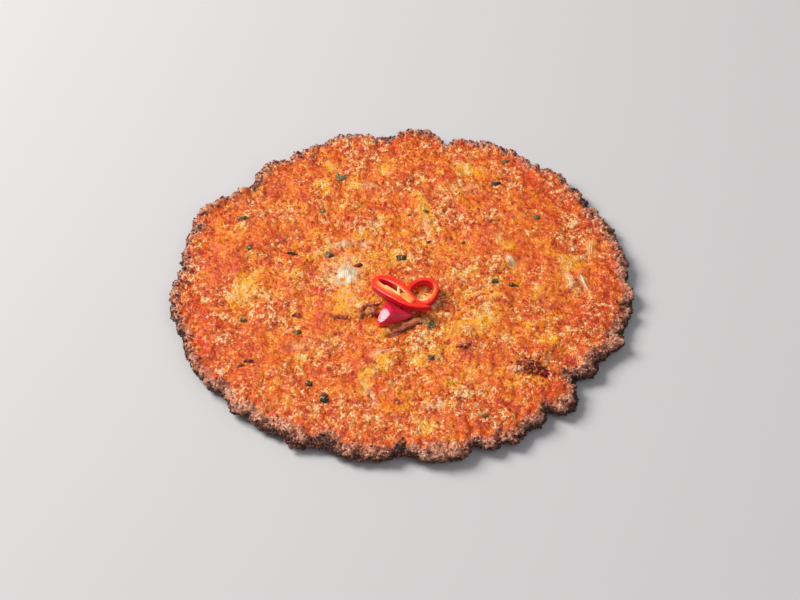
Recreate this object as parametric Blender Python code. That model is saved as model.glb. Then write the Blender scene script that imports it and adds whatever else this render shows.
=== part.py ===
"""A kimchi pancake, fried in a round pan.

One thick disc of batter with kimchi folded through it: a rippled top, a broken, browned
rim that curls up off the surface below it, and chopped scallion fried into the top.
Three slices of fresh red chilli lie in the middle: a long ring cut on the bias, over a
shorter ring and a wedge.

Metres, +Z up. The origin is the centre of the flat underside that the pancake rests on.
"""

import math
import random
from collections import namedtuple

import bmesh
import bpy
from mathutils import Euler, Matrix, Vector, noise

MM = 0.001  # every size below is in millimetres
SEED = 11

# The disc of batter
PANCAKE_RADIUS = 105.0  # before the notches in the rim
TOP_HEIGHT = 7.6
GRID_CELLS = 56  # cells across the disc, and a quarter of those round its rim
NOTCH_REACH = 3  # power by which a notch fades towards the middle

# The rim, from the shoulder round to the flat base: distance in from the outline, and
# height as a share of the rim's own height over its curled underside
SHOULDER_INSET = 2.0
RIM_RINGS = ((0.5, 0.78), (0.0, 0.48), (0.9, 0.16), (3.2, 0.0))
CURL_HEIGHT = 1.9  # the underside's height at the rim
CURL_WAVE = ((0.7, 34.0, 8.1),)  # its unevenness: share of the height, length, layer
CURL_RINGS = ((9.5, 0.3), (18.0, 0.0))  # distance in, and share of the curl height

# Notches broken into the rim: direction in degrees, depth, half-width in degrees
RIM_NOTCHES = (
    (28, 2.4, 4), (51, 3.6, 5), (77, 7.0, 2.4), (70, 1.6, 6), (95, 4.6, 5), (121, 4.4, 9),
    (140, 8.0, 8), (176, 3.0, 6), (200, 2.2, 2), (220, 2.2, 2.5), (251, 3.2, 3.0),
    (271, 4.6, 3.6), (288, 3.4, 2.2), (302, 2.6, 1.6), (309, 4.2, 2.6), (322, 8.2, 3.6),
    (331, 5.4, 5),
)
# The rim's lip, raised or slumped: direction in degrees, rise, half-width in degrees
RIM_LIPS = ((150, 1.9, 22), (188, 0.9, 14), (255, -0.9, 40), (330, -0.6, 30), (60, 0.5, 30))
LIP_INSET = 3.0
LIP_WIDTH = 3.2
SLUMP_DROP, SLUMP_WIDTH = 0.9, 2.6  # how the top rounds off at the very rim

# Smooth waves of the outline and of the top: rise, length, layer of the noise
RIM_WAVES = ((1.1, 11.0, 2.3), (1.0, 5.2, 5.7))
TOP_WAVES = ((1.3, 44.0, 1.7), (0.8, 8.5, 4.6))
# Rounded lumps with cracks between them: rise and length of the soft ones over the kimchi
# and of the browned crags along the rim, and the share of a lump that lies below the top
LUMP_RISE, LUMP_LENGTH, LUMP_LEVEL = 1.1, 17.0, 0.5
CRAG_RISE, CRAG_LENGTH, CRAG_LEVEL = 1.6, 5.2, 0.55
CRAG_BAND = 10.0  # how far in from the rim the crags reach
CRAG_REACH = 1.7  # how far they stand out of its side
CRAG_LAYER = 4.0
LUMP_SIZE = 0.7  # a lump's radius as a share of its length
WANDER, WANDER_LENGTH, WANDER_LAYERS = 0.4, 15.0, (3.4, 6.2)  # what keeps lumps off a grid

# Folds of kimchi under the batter, and hollows: x, y, length, width, direction, rise
FOLDS = (
    (-26, 5, 15, 8, -35, 0.9), (-27, 23, 9, 5, 20, 0.7), (50, 11, 9, 6, 30, 0.8),
    (77, -1, 13, 6, 80, 0.8), (88, 21, 11, 6, 60, 0.7), (64, -44, 17, 5, 42, 1.5),
    (57, -55, 7, 6, 0, 2.4), (50, -56, 6, 5, 0, 1.6), (29, -45, 9, 7, 20, 1.3),
    (-13, -24, 12, 3, 12, -1.3), (0, -33, 14, 3, 24, -1.5), (-73, -12, 12, 9, 10, -0.8),
    (-25, -14, 14, 9, 60, -0.7), (-8, -62, 26, 5, -52, 1.2), (12, -58, 22, 4, -70, 0.9),
    (-55, -16, 12, 7, 40, 0.8), (13, 36, 18, 4, -75, 0.8), (-15, 62, 10, 6, 0, 0.8),
    (33, 62, 12, 7, 30, 0.7), (70, 60, 20, 5, -48, -0.8), (-60, 60, 24, 5, 40, -0.9),
)
GARNISH_SEAT = (2.0, -15.0, 19.0)  # x, y and radius of the calmer ground under the chilli
SEAT_CALM = 0.8

# Chopped scallion and kimchi fried into the top: x, y, length, width, direction
TOP_BITS = (
    (-29, 68, 7.5, 3.6, 65), (-37, 45, 3.4, 3.2, 20), (-75, 39, 5.5, 3.8, 5),
    (-70, 20, 5, 3.6, 80), (-50, 17, 7, 3, 8), (-33, 16, 6, 2.6, -45), (46, 64, 7, 3, 12),
    (64, 41, 4.4, 3, -30), (43, -2, 5.4, 4, 60), (51, -4, 5.4, 3.2, -10), (0, 14, 6, 4, -20),
    (-71, -25, 4, 2.2, 0), (-46, -33, 5, 2.6, 10), (-40, -63, 3.2, 3, 0),
    (-34, -72, 6, 5.4, -20), (14, -48, 6, 3, -15), (13.5, -28.5, 5.4, 4.6, 30),
    (12, 45, 4, 2.4, 30), (13, 25, 4, 2.6, 0), (36, -82, 4, 2.2, 10), (29, 24, 3.2, 2.2, 60),
    (51, 80, 4.4, 3, -30), (-20, 8, 5, 4, 30), (4, 42, 4.4, 2, 0),
)
BIT_THICKNESS = 2.2
BIT_SUNK = 0.55  # share of the thickness that is under the batter
BIT_TILT = 12.0  # degrees
BIT_JITTER = 0.16  # of its size

# Browned crumbs of batter, half sunk in the rim's side
CRUMB_COUNT = 34
CRUMB_RADIUS = (1.5, 2.5)
CRUMB_INSET = 1.4
CRUMB_LEVEL = (0.4, 0.95)  # share of the rim's height
CRUMB_STRETCH = (0.75, 1.25)
CRUMB_CHANCE = (0.1, 0.9)  # where a crumb lies within its share of the rim

# The chilli rings. A ring's place is the middle of its underside. Its hole is given by its
# place along and across the ring, its length and its width. An uneven cut is thicker towards
# thick_side, a direction in the ring's own plane. pinch narrows the far end, sag bends the
# whole ring sideways, and arch drops both its ends.
Ring = namedtuple(
    "Ring",
    "name length width hole height uneven thick_side pinch sag arch place direction tilt",
)
LONG_RING = Ring(
    name="chilli_ring_long", length=33.5, width=10.6, hole=(-3.3, 0.3, 20.0, 3.6), height=3.3,
    uneven=0.25, thick_side=200, pinch=0.6, sag=3.2, arch=1.0, place=(0.8, -13.9, 11.05),
    direction=-38.0, tilt=-7.2,
)
ROUND_RING = Ring(
    name="chilli_ring_round", length=15.8, width=14.8, hole=(-1.2, 0.0, 9.4, 10.4),
    height=3.3, uneven=0.42, thick_side=113, pinch=0.2, sag=0.0, arch=0.0,
    place=(9.9, -11.7, 8.4), direction=-78.0, tilt=0.0,
)
SAG_POWER = 2.5  # above 1, the sag lies towards the ring's far end
WALL_SQUARENESS = 0.45  # power that flattens the wall's round section into a cut slice
RING_SEGMENTS = 36
WALL_SEGMENTS = 8
TUBE_RADIUS = 0.25  # of the plain torus of radius 1 that a ring is shaped from
# Pale inner flesh in the long ring's hole: along its near wall, across it, and filling its
# far end. Place along and across the ring, length, width, direction.
RING_RIBS = (
    (-4.2, -1.9, 11.0, 1.7, -8.0), (-2.2, 0.1, 4.8, 1.3, -52.0), (4.6, -2.7, 9.0, 4.4, -8.0),
)
RIB_HEIGHT = 2.4

WEDGE_SEGMENTS = 24
WEDGE_PLACE = (-3.6, -23.8, 8.85)
WEDGE_SIDES = ((162, 5.8), (-65, 4.9), (57, 5.0), (228, 9.4))  # direction and distance
WEDGE_ROUNDING = 6  # power that rounds the corners between the sides
WEDGE_HEIGHT = 4.2
WEDGE_UNDERSIDE = 0.12  # its depth, as a share of the height
WEDGE_LEAN = (-0.5, -0.45)  # how much higher it is towards its shown end

# Materials: name, linear colour, roughness
BATTER = ("fried_batter", (0.72, 0.19, 0.03), 0.42)
CHILLI = ("fresh_chilli", (0.75, 0.02, 0.015), 0.22)
SHARP_ANGLE = math.radians(65)  # edges sharper than this are shaded as edges
MERGE_REACH = 0.002  # points of a join closer than this become one


def clear_scene():
    """Remove every object of the scene."""
    for thing in list(bpy.data.objects):
        bpy.data.objects.remove(thing, do_unlink=True)


def make_material(name, colour, roughness):
    """A Principled material of one colour."""
    material = bpy.data.materials.new(name)
    material.use_nodes = True
    shader = material.node_tree.nodes["Principled BSDF"]
    shader.inputs["Base Color"].default_value = (*colour, 1.0)
    shader.inputs["Roughness"].default_value = roughness
    shader.inputs["Metallic"].default_value = 0.0
    return material


def wave(x, y, length, layer):
    """Smooth noise from -1 to 1, with waves about `length` across."""
    return noise.noise(Vector((x / length, y / length, layer)))


def waves(x, y, kinds):
    """The sum of several kinds of wave, each a rise, a length and a layer."""
    return sum(rise * wave(x, y, length, layer) for rise, length, layer in kinds)


def edit_mesh(thing, steps):
    """Run some steps on an object's mesh."""
    mesh = bmesh.new()
    mesh.from_mesh(thing.data)
    steps(mesh)
    mesh.to_mesh(thing.data)
    mesh.free()


def degrees_apart(first, second):
    """The angle between two directions, from 0 to 180."""
    return abs((first - second + 180) % 360 - 180)


def bell(distance, half_width):
    """1 at no distance, falling smoothly to almost nothing at two half-widths."""
    return math.exp(-((distance / half_width) ** 2))


def rim_radius(angle):
    """The outline's radius in a direction, in radians."""
    degrees = math.degrees(angle)
    notches = sum(
        depth * bell(degrees_apart(degrees, towards), half_width)
        for towards, depth, half_width in RIM_NOTCHES
    )
    x, y = PANCAKE_RADIUS * math.cos(angle), PANCAKE_RADIUS * math.sin(angle)
    return PANCAKE_RADIUS - notches + waves(x, y, RIM_WAVES)


def lip_rise(angle):
    """How far the rim stands above the top just inside it, in a direction in radians."""
    degrees = math.degrees(angle)
    return sum(
        rise * bell(degrees_apart(degrees, towards), half_width)
        for towards, rise, half_width in RIM_LIPS
    )


def curl(angle):
    """The underside's height at the rim, in a direction in radians."""
    x, y = PANCAKE_RADIUS * math.cos(angle), PANCAKE_RADIUS * math.sin(angle)
    return CURL_HEIGHT * (1 + waves(x, y, CURL_WAVE))


def lumps(place, length):
    """Rounded lumps about `length` across: 0 in the cracks between them, 1 on top."""
    x, y, _ = place
    wander = [WANDER * wave(x, y, WANDER_LENGTH, layer) for layer in WANDER_LAYERS]
    nearest = noise.voronoi(Vector(place) / length + Vector((*wander, 0)))[0][0]
    return max(0.0, 1 - (nearest / LUMP_SIZE) ** 2)


def folds(x, y):
    """The height that the named folds and hollows add."""
    total = 0.0
    for fold_x, fold_y, length, width, direction, rise in FOLDS:
        turn = math.radians(direction)
        along = (x - fold_x) * math.cos(turn) + (y - fold_y) * math.sin(turn)
        across = (y - fold_y) * math.cos(turn) - (x - fold_x) * math.sin(turn)
        total += rise * bell(along, length / 2) * bell(across, width / 2)
    return total


def top_height(x, y):
    """The height of the pancake's top."""
    angle = math.atan2(y, x)
    edge = rim_radius(angle) - math.hypot(x, y)
    seat_x, seat_y, seat_radius = GARNISH_SEAT
    seat = bell(math.hypot(x - seat_x, y - seat_y), seat_radius)
    craggy = bell(max(edge, 0.0), CRAG_BAND)
    relief = waves(x, y, TOP_WAVES)
    relief += LUMP_RISE * (lumps((x, y, 0.0), LUMP_LENGTH) - LUMP_LEVEL)
    relief += CRAG_RISE * craggy * (lumps((x, y, CRAG_LAYER), CRAG_LENGTH) - CRAG_LEVEL)
    relief *= 1 - SEAT_CALM * seat
    lip = lip_rise(angle) * bell(edge - LIP_INSET, LIP_WIDTH)
    slump = SLUMP_DROP * bell(edge, SLUMP_WIDTH)
    return TOP_HEIGHT + relief + folds(x, y) + lip - slump


def disc_place(u, v):
    """The share of the radius and the direction of a point of the square -1 to 1.

    Each square ring of the grid becomes a round one, with its points evenly spaced.
    """
    if u == 0 and v == 0:
        return 0.0, 0.0
    if abs(u) > abs(v):
        share, angle = u, math.pi / 4 * v / u
    else:
        share, angle = v, math.pi / 2 - math.pi / 4 * u / v
    return abs(share), angle if share > 0 else angle + math.pi


def top_point(u, v):
    """The place on the pancake's top of a point of the square -1 to 1."""
    share, angle = disc_place(u, v)
    reach = PANCAKE_RADIUS - SHOULDER_INSET
    reach += (rim_radius(angle) - PANCAKE_RADIUS) * share**NOTCH_REACH
    x, y = share * reach * math.cos(angle), share * reach * math.sin(angle)
    return Vector((x, y, top_height(x, y)))


def extrude_rim(mesh, place):
    """Extrude the open edge of the mesh, and put each new point where `place` says."""
    edge = [found for found in mesh.edges if found.is_boundary]
    made = bmesh.ops.extrude_edge_only(mesh, edges=edge)["geom"]
    for point in [found for found in made if isinstance(found, bmesh.types.BMVert)]:
        point.co = place(math.atan2(point.co.y, point.co.x))


def rim_point(angle, inset, level):
    """A point of the rim's side: `level` is 1 at its shoulder and 0 at its underside."""
    outline = rim_radius(angle)
    shoulder = outline - SHOULDER_INSET
    top = top_height(shoulder * math.cos(angle), shoulder * math.sin(angle))
    height = curl(angle) + level * (top - curl(angle))
    radius = outline - inset
    place = Vector((radius * math.cos(angle), radius * math.sin(angle), height))
    radius += CRAG_REACH * (lumps(place, CRAG_LENGTH) - CRAG_LEVEL)
    return Vector((radius * math.cos(angle), radius * math.sin(angle), height))


def underside_point(angle, inset, level):
    """A point of the underside: `level` is 1 where it curls up and 0 on the flat base."""
    radius = PANCAKE_RADIUS - inset
    return Vector((radius * math.cos(angle), radius * math.sin(angle), level * curl(angle)))


def shape_disc(mesh):
    """Shape a flat grid into the disc: its top, then the rim and the underside."""
    for point in mesh.verts:
        point.co = top_point(point.co.x, point.co.y)
    for inset, level in RIM_RINGS:
        extrude_rim(mesh, lambda angle: rim_point(angle, inset, level))
    for inset, level in CURL_RINGS:
        extrude_rim(mesh, lambda angle: underside_point(angle, inset, level))
    bmesh.ops.holes_fill(mesh, edges=[found for found in mesh.edges if found.is_boundary])
    bmesh.ops.recalc_face_normals(mesh, faces=mesh.faces)
    bmesh.ops.scale(mesh, vec=(MM, MM, MM), verts=mesh.verts)


def build_disc():
    """The disc of batter."""
    bpy.ops.mesh.primitive_grid_add(x_subdivisions=GRID_CELLS, y_subdivisions=GRID_CELLS, size=2)
    disc = bpy.context.object
    disc.name = "pancake"
    edit_mesh(disc, shape_disc)
    return disc


def build_bit(place, size, direction, draw):
    """One chopped piece, partly sunk in the batter: a slightly uneven block."""
    bpy.ops.mesh.primitive_cube_add(size=1)
    bit = bpy.context.object
    for corner in bit.data.vertices:
        uneven = Vector([draw.uniform(-BIT_JITTER, BIT_JITTER) for _ in range(3)])
        corner.co = (corner.co + uneven) * Vector(size) * MM
    bit.location = Vector(place) * MM
    tilt = [math.radians(draw.uniform(-BIT_TILT, BIT_TILT)) for _ in range(2)]
    bit.rotation_euler = (*tilt, math.radians(direction))
    return bit


def build_top_bits(draw):
    """The chopped pieces fried into the top."""
    bits = []
    for x, y, length, width, direction in TOP_BITS:
        height = top_height(x, y) + BIT_THICKNESS * (0.5 - BIT_SUNK)
        bits.append(build_bit((x, y, height), (length, width, BIT_THICKNESS), direction, draw))
    return bits


def build_rim_crumbs(draw):
    """Crumbs of batter along the rim, evenly spread with a little chance."""
    crumbs = []
    for index in range(CRUMB_COUNT):
        angle = 2 * math.pi * (index + draw.uniform(*CRUMB_CHANCE)) / CRUMB_COUNT
        radius = draw.uniform(*CRUMB_RADIUS)
        bpy.ops.mesh.primitive_ico_sphere_add(subdivisions=1, radius=radius * MM)
        crumb = bpy.context.object
        crumb.location = rim_point(angle, CRUMB_INSET, draw.uniform(*CRUMB_LEVEL)) * MM
        crumb.rotation_euler = [draw.uniform(0, math.pi) for _ in range(3)]
        crumb.scale = [draw.uniform(*CRUMB_STRETCH) for _ in range(3)]
        crumbs.append(crumb)
    return crumbs


def signed_power(value, power):
    """The power of a number's size, with its sign kept."""
    return math.copysign(abs(value) ** power, value)


def ring_point(ring, around, across):
    """A point of a chilli ring: `around` goes round the ring, `across` round its wall."""
    half_length, half_width = ring.length / 2, ring.width / 2
    taper = 1 - ring.pinch * math.cos(around)
    outside = Vector((half_length * math.cos(around), half_width * taper * math.sin(around)))
    hole_x, hole_y, hole_length, hole_width = ring.hole
    inside = Vector((
        hole_x + hole_length / 2 * math.cos(around), hole_y + hole_width / 2 * math.sin(around)
    ))
    out = 0.5 + 0.5 * signed_power(math.cos(across), WALL_SQUARENESS)
    x, y = inside.lerp(outside, out)
    reached = max(0.0, (1 + x / half_length) / 2)
    y -= ring.sag * math.sin(math.pi * reached**SAG_POWER)
    thickness = 1 + ring.uneven * math.cos(around - math.radians(ring.thick_side))
    up = 0.5 * ring.height * thickness * (1 + signed_power(math.sin(across), WALL_SQUARENESS))
    return Vector((x, y, up - ring.arch * (x / half_length) ** 2))


def placement(ring):
    """Where a ring lies: turned to its direction, and raised at its far end."""
    turn = Euler((0, math.radians(ring.tilt), math.radians(ring.direction)))
    return Matrix.LocRotScale(Vector(ring.place) * MM, turn, None)


def build_ring(ring):
    """A slice of chilli: a torus reshaped into a cut ring."""
    bpy.ops.mesh.primitive_torus_add(
        major_segments=RING_SEGMENTS, minor_segments=WALL_SEGMENTS,
        major_radius=1, minor_radius=TUBE_RADIUS,
    )
    made = bpy.context.object
    made.name = ring.name
    for point in made.data.vertices:
        around = math.atan2(point.co.y, point.co.x)
        across = math.atan2(point.co.z, math.hypot(point.co.x, point.co.y) - 1)
        point.co = ring_point(ring, around, across) * MM
    made.matrix_world = placement(ring)
    return made


def build_ribs(ring):
    """The pale flesh in a ring's hole, as blocks in the ring's place."""
    ribs = []
    for along, across, length, width, direction in RING_RIBS:
        bpy.ops.mesh.primitive_cube_add(size=1)
        rib = bpy.context.object
        rib.matrix_world = placement(ring) @ Matrix.LocRotScale(
            Vector((along, across, ring.height / 2)) * MM,
            Euler((0, 0, math.radians(direction))),
            Vector((length, width, RIB_HEIGHT)) * MM,
        )
        ribs.append(rib)
    return ribs


def wedge_outline(direction):
    """The wedge's radius in a direction: a triangle with round corners."""
    total = 0.0
    for towards, distance in WEDGE_SIDES:
        facing = math.cos(direction - math.radians(towards))
        total += max(0.0, facing / distance) ** WEDGE_ROUNDING
    return total ** (-1 / WEDGE_ROUNDING)


def build_wedge():
    """The wedge of chilli: a sphere reshaped into a low dome on a rounded triangle."""
    bpy.ops.mesh.primitive_uv_sphere_add(segments=WEDGE_SEGMENTS, ring_count=WEDGE_SEGMENTS // 2)
    wedge = bpy.context.object
    wedge.name = "chilli_wedge"
    for point in wedge.data.vertices:
        x, y, z = point.co
        reach = wedge_outline(math.atan2(y, x))
        lean = 1 + WEDGE_LEAN[0] * x + WEDGE_LEAN[1] * y
        height = WEDGE_HEIGHT * (z * lean if z > 0 else z * WEDGE_UNDERSIDE)
        point.co = Vector((x * reach, y * reach, height)) * MM
    wedge.location = Vector(WEDGE_PLACE) * MM
    return wedge


def fuse(base, pieces):
    """Join the pieces to the base in one solid, and remove them."""
    edit_mesh(base, lambda mesh: bmesh.ops.triangulate(mesh, faces=mesh.faces))
    bpy.context.view_layer.update()
    added = bpy.data.collections.new(base.name + "_pieces")
    bpy.context.scene.collection.children.link(added)
    for piece in pieces:
        added.objects.link(piece)
    union = base.modifiers.new("fused", "BOOLEAN")
    union.operation = "UNION"
    union.operand_type = "COLLECTION"
    union.collection = added
    union.solver = "EXACT"
    bpy.context.view_layer.objects.active = base
    bpy.ops.object.modifier_apply(modifier=union.name)
    for piece in pieces:
        bpy.data.objects.remove(piece, do_unlink=True)
    bpy.data.collections.remove(added)
    reach = MERGE_REACH * MM
    edit_mesh(base, lambda mesh: bmesh.ops.remove_doubles(mesh, verts=mesh.verts, dist=reach))


def finish(thing, material, carrier, collection):
    """Give an object its material, smooth shading, parent and collection."""
    thing.data.materials.clear()
    thing.data.materials.append(material)
    thing.data.shade_smooth()
    thing.data.set_sharp_from_angle(angle=SHARP_ANGLE)
    thing.parent = carrier
    for linked in list(thing.users_collection):
        linked.objects.unlink(thing)
    collection.objects.link(thing)


def main():
    """Build the pancake and its garnish."""
    clear_scene()
    draw = random.Random(SEED)
    collection = bpy.data.collections.new("kimchi_pancake")
    bpy.context.scene.collection.children.link(collection)
    carrier = bpy.data.objects.new("kimchi_pancake_origin", None)
    collection.objects.link(carrier)

    disc = build_disc()
    fuse(disc, build_top_bits(draw) + build_rim_crumbs(draw))
    long_ring = build_ring(LONG_RING)
    fuse(long_ring, build_ribs(LONG_RING))
    chilli_slices = [long_ring, build_ring(ROUND_RING), build_wedge()]

    finish(disc, make_material(*BATTER), carrier, collection)
    chilli = make_material(*CHILLI)
    for piece in chilli_slices:
        finish(piece, chilli, carrier, collection)


main()
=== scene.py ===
"""A fried kimchi pancake with fresh red chilli on it: its looks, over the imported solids.

Each sub-assembly is a class that holds its sizes and builds and dresses its own meshes, and
each finish is a frozen dataclass that makes one material. Sizes are in millimetres until a
mesh is written, and then in metres.
"""

import sys
import logging
import math
from dataclasses import dataclass
from enum import Enum
from typing import Any, Iterable, Protocol, Sequence

import bmesh
import bpy
import numpy as np
from mathutils import Euler, Matrix, Vector, noise
from mathutils.bvhtree import BVHTree


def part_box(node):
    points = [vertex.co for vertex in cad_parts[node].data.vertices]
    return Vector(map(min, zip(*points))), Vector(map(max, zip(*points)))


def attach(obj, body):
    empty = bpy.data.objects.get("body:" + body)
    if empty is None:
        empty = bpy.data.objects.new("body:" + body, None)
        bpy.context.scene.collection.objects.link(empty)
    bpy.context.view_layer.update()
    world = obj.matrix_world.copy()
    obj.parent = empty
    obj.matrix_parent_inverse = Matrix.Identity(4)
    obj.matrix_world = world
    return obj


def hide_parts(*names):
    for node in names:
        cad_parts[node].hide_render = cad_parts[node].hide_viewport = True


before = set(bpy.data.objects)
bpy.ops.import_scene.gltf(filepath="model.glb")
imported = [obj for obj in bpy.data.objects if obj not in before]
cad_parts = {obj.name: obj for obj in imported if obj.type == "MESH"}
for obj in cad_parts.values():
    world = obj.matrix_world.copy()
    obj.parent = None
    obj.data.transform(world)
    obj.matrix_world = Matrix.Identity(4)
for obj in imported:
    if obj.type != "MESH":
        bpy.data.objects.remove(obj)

log = logging.getLogger("kimchi_pancake")

Array = np.ndarray
Colour = tuple[float, float, float, float]
Span = tuple[float, float]  # a low and a high value, or a start and a full one
Row = tuple[float, ...]  # numbers that belong together, as the comment over them says
Table = tuple[Row, ...]
MM = 0.001
SEED = 7
NOISE_LAYERS = 90.0  # chance picks a layer of noise from 0 up to this


class Slot(Enum):
    """The record's material slots."""

    BATTER = "batter"
    CHILLI = "chilli"


class MixSocket(Enum):
    """Places of a Mix node's sockets for colours, which share their names with others."""

    FACTOR = 0
    A = 6
    B = 7
    RESULT = 2


# --- Small helpers ---------------------------------------------------------------------


def srgb(code: str) -> Colour:
    """Turn an sRGB hex colour into linear RGBA.

    Args:
        code: the colour, such as "#E8702A".

    Returns:
        Red, green, blue and full alpha.
    """
    shares = [int(code[start:start + 2], 16) / 255 for start in (1, 3, 5)]
    linear = [s / 12.92 if s <= 0.04045 else ((s + 0.055) / 1.055) ** 2.4 for s in shares]
    return (linear[0], linear[1], linear[2], 1.0)


def bell(distance: Array | float, half_width: float) -> Array:
    """Fall smoothly from 1 at no distance to almost nothing at two half-widths."""
    return np.exp(-((np.asarray(distance) / half_width) ** 2))


def ease(value: Array, low: float, high: float) -> Array:
    """Rise smoothly from 0 at the low value to 1 at the high one."""
    share = np.clip((np.asarray(value) - low) / (high - low), 0.0, 1.0)
    return share * share * (3 - 2 * share)


def wave(x: Array, y: Array, length: float, layer: float) -> Array:
    """Smooth noise over the plan.

    Args:
        x: places from left to right.
        y: places from front to back.
        length: about how wide a wave is.
        layer: which layer of the noise, so that two waves differ.

    Returns:
        A number from -1 to 1 for each place.
    """
    places = zip((x / length).tolist(), (y / length).tolist())
    return np.array([noise.noise((a, b, layer)) for a, b in places])


def waves(x: Array, y: Array, kinds: Iterable[Row]) -> Array:
    """Add up several kinds of wave, each a rise, a length and a layer."""
    return sum(rise * wave(x, y, length, layer) for rise, length, layer in kinds)


def dents(x: Array, y: Array, kind: Row) -> Array:
    """Give what is left of a form, from 1 down, by a dent's share, length and layer."""
    share, length, layer = kind
    return 1 - share * (0.5 + 0.5 * wave(x, y, length, layer))


def polar(radius: Array | float, angle: Array) -> tuple[Array, Array]:
    """Give x and y at a radius and an angle in radians."""
    return radius * np.cos(angle), radius * np.sin(angle)


def laid(
    x: float, y: float, along: Array, across: Array, direction: float
) -> tuple[Array, Array]:
    """Lay places along and across a thing out in the plan.

    Args:
        x: where the thing is from left to right.
        y: where it is from front to back.
        along: places along it.
        across: places across it.
        direction: the way it points, in degrees.

    Returns:
        The places' x and y.
    """
    turn = math.radians(direction)
    return (
        x + along * math.cos(turn) - across * math.sin(turn),
        y + along * math.sin(turn) + across * math.cos(turn),
    )


def bells_round(angle: Array, kinds: Iterable[Row]) -> Array:
    """Add up bells round a circle.

    Args:
        angle: places round it, in radians.
        kinds: the direction in degrees, height and half-width in degrees of each bell.

    Returns:
        Their sum at each place.
    """
    degrees = np.degrees(angle)
    total = np.zeros(len(angle))
    for towards, height, half_width in kinds:
        total += height * bell((degrees - towards + 180) % 360 - 180, half_width)
    return total


def patches(x: Array, y: Array, marks: Iterable[Row]) -> Array:
    """Add up soft oval patches.

    Args:
        x: places from left to right.
        y: places from front to back.
        marks: x, y, length, width, direction in degrees and strength of each patch.

    Returns:
        The patches' strength at each place.
    """
    total = np.zeros(len(x))
    for mark_x, mark_y, length, width, direction, strength in marks:
        turn = math.radians(direction)
        along = (x - mark_x) * math.cos(turn) + (y - mark_y) * math.sin(turn)
        across = (y - mark_y) * math.cos(turn) - (x - mark_x) * math.sin(turn)
        total += strength * bell(along, length / 2) * bell(across, width / 2)
    return total


class Graph:
    """A Principled material in the making."""

    def __init__(self, name: str) -> None:
        """Start the material.

        Args:
            name: the material's name.
        """
        self.material = bpy.data.materials.new(name)
        self.material.use_nodes = True
        self.tree = self.material.node_tree
        self.shader = self.tree.nodes["Principled BSDF"]
        self.place = self.add("TexCoord", {}, "Object")

    def add(
        self, kind: str, inputs: dict[str | int, Any], output: str | int = 0, **settings: Any
    ) -> bpy.types.NodeSocket:
        """Add a shader node with its settings and links.

        Args:
            kind: the node's type, without its "ShaderNode" prefix.
            inputs: what goes into its sockets, by name or place: a socket is linked, and
                anything else is set as the socket's value.
            output: which output to give back.
            settings: the node's own properties.

        Returns:
            The output socket.
        """
        node = self.tree.nodes.new("ShaderNode" + kind)
        for name, value in settings.items():
            setattr(node, name, value)
        for name, value in inputs.items():
            if isinstance(value, bpy.types.NodeSocket):
                self.tree.links.new(value, node.inputs[name])
            else:
                node.inputs[name].default_value = value
        return node.outputs[output]

    def pattern(self, kind: str, wide: float, output: str = "Fac", **inputs: Any) -> Any:
        """Add a texture whose features are about so many millimetres wide."""
        sockets = {"Vector": self.place, "Scale": 1 / (wide * MM), **inputs}
        return self.add("Tex" + kind, sockets, output)

    def number(self, label: str) -> bpy.types.NodeSocket:
        """Read one of the mesh's numbers."""
        return self.add("Attribute", {}, "Fac", attribute_name=label)

    def sum(self, *terms: tuple[Any, float]) -> bpy.types.NodeSocket:
        """Add up sockets.

        Args:
            terms: each a socket or number, and its weight.

        Returns:
            The sum's socket.
        """
        total: Any = 0.0
        for value, weight in terms:
            total = self.add("Math", {0: value, 1: weight, 2: total}, operation="MULTIPLY_ADD")
        return total

    def layers(self, base: Any, *coats: tuple[Any, Any, float, float]) -> Any:
        """Lay colours over one another.

        Args:
            base: the colour underneath, a hex colour or a socket.
            coats: each a colour, the value that decides where it shows, and the values at
                which it starts and is full.

        Returns:
            The colour on top.
        """
        for colour, value, low, high in coats:
            span = {"Value": value, "From Min": low, "From Max": high}
            sockets = {MixSocket.FACTOR.value: self.add("MapRange", span)}
            for side, hue in ((MixSocket.A, base), (MixSocket.B, colour)):
                sockets[side.value] = srgb(hue) if isinstance(hue, str) else hue
            base = self.add("Mix", sockets, MixSocket.RESULT.value, data_type="RGBA")
        return base

    def finish(
        self, colour: Any, roughness: Any, relief: tuple[Any, float], wet: tuple[Any, float],
        **plain: float,
    ) -> bpy.types.Material:
        """Connect the shader.

        Args:
            colour: the base colour.
            roughness: the roughness, a socket or a plain number.
            relief: the height of the fine relief, and its depth in millimetres.
            wet: the same for the film of oil or water over it.
            plain: the shader's other values, the same all over.

        Returns:
            The material.
        """
        links = {"Base Color": colour, "Roughness": roughness}
        for socket, (height, depth) in (("Normal", relief), ("Coat Normal", wet)):
            bump = {"Height": height, "Strength": 1.0, "Distance": depth * MM}
            links[socket] = self.add("Bump", bump)
        for name, value in {**links, **plain}.items():
            socket = self.shader.inputs[name.replace("_", " ")]
            if isinstance(value, bpy.types.NodeSocket):
                self.tree.links.new(value, socket)
            else:
                socket.default_value = value
        return self.material


# --- The forms that the looks share with the solids --------------------------------------


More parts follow.
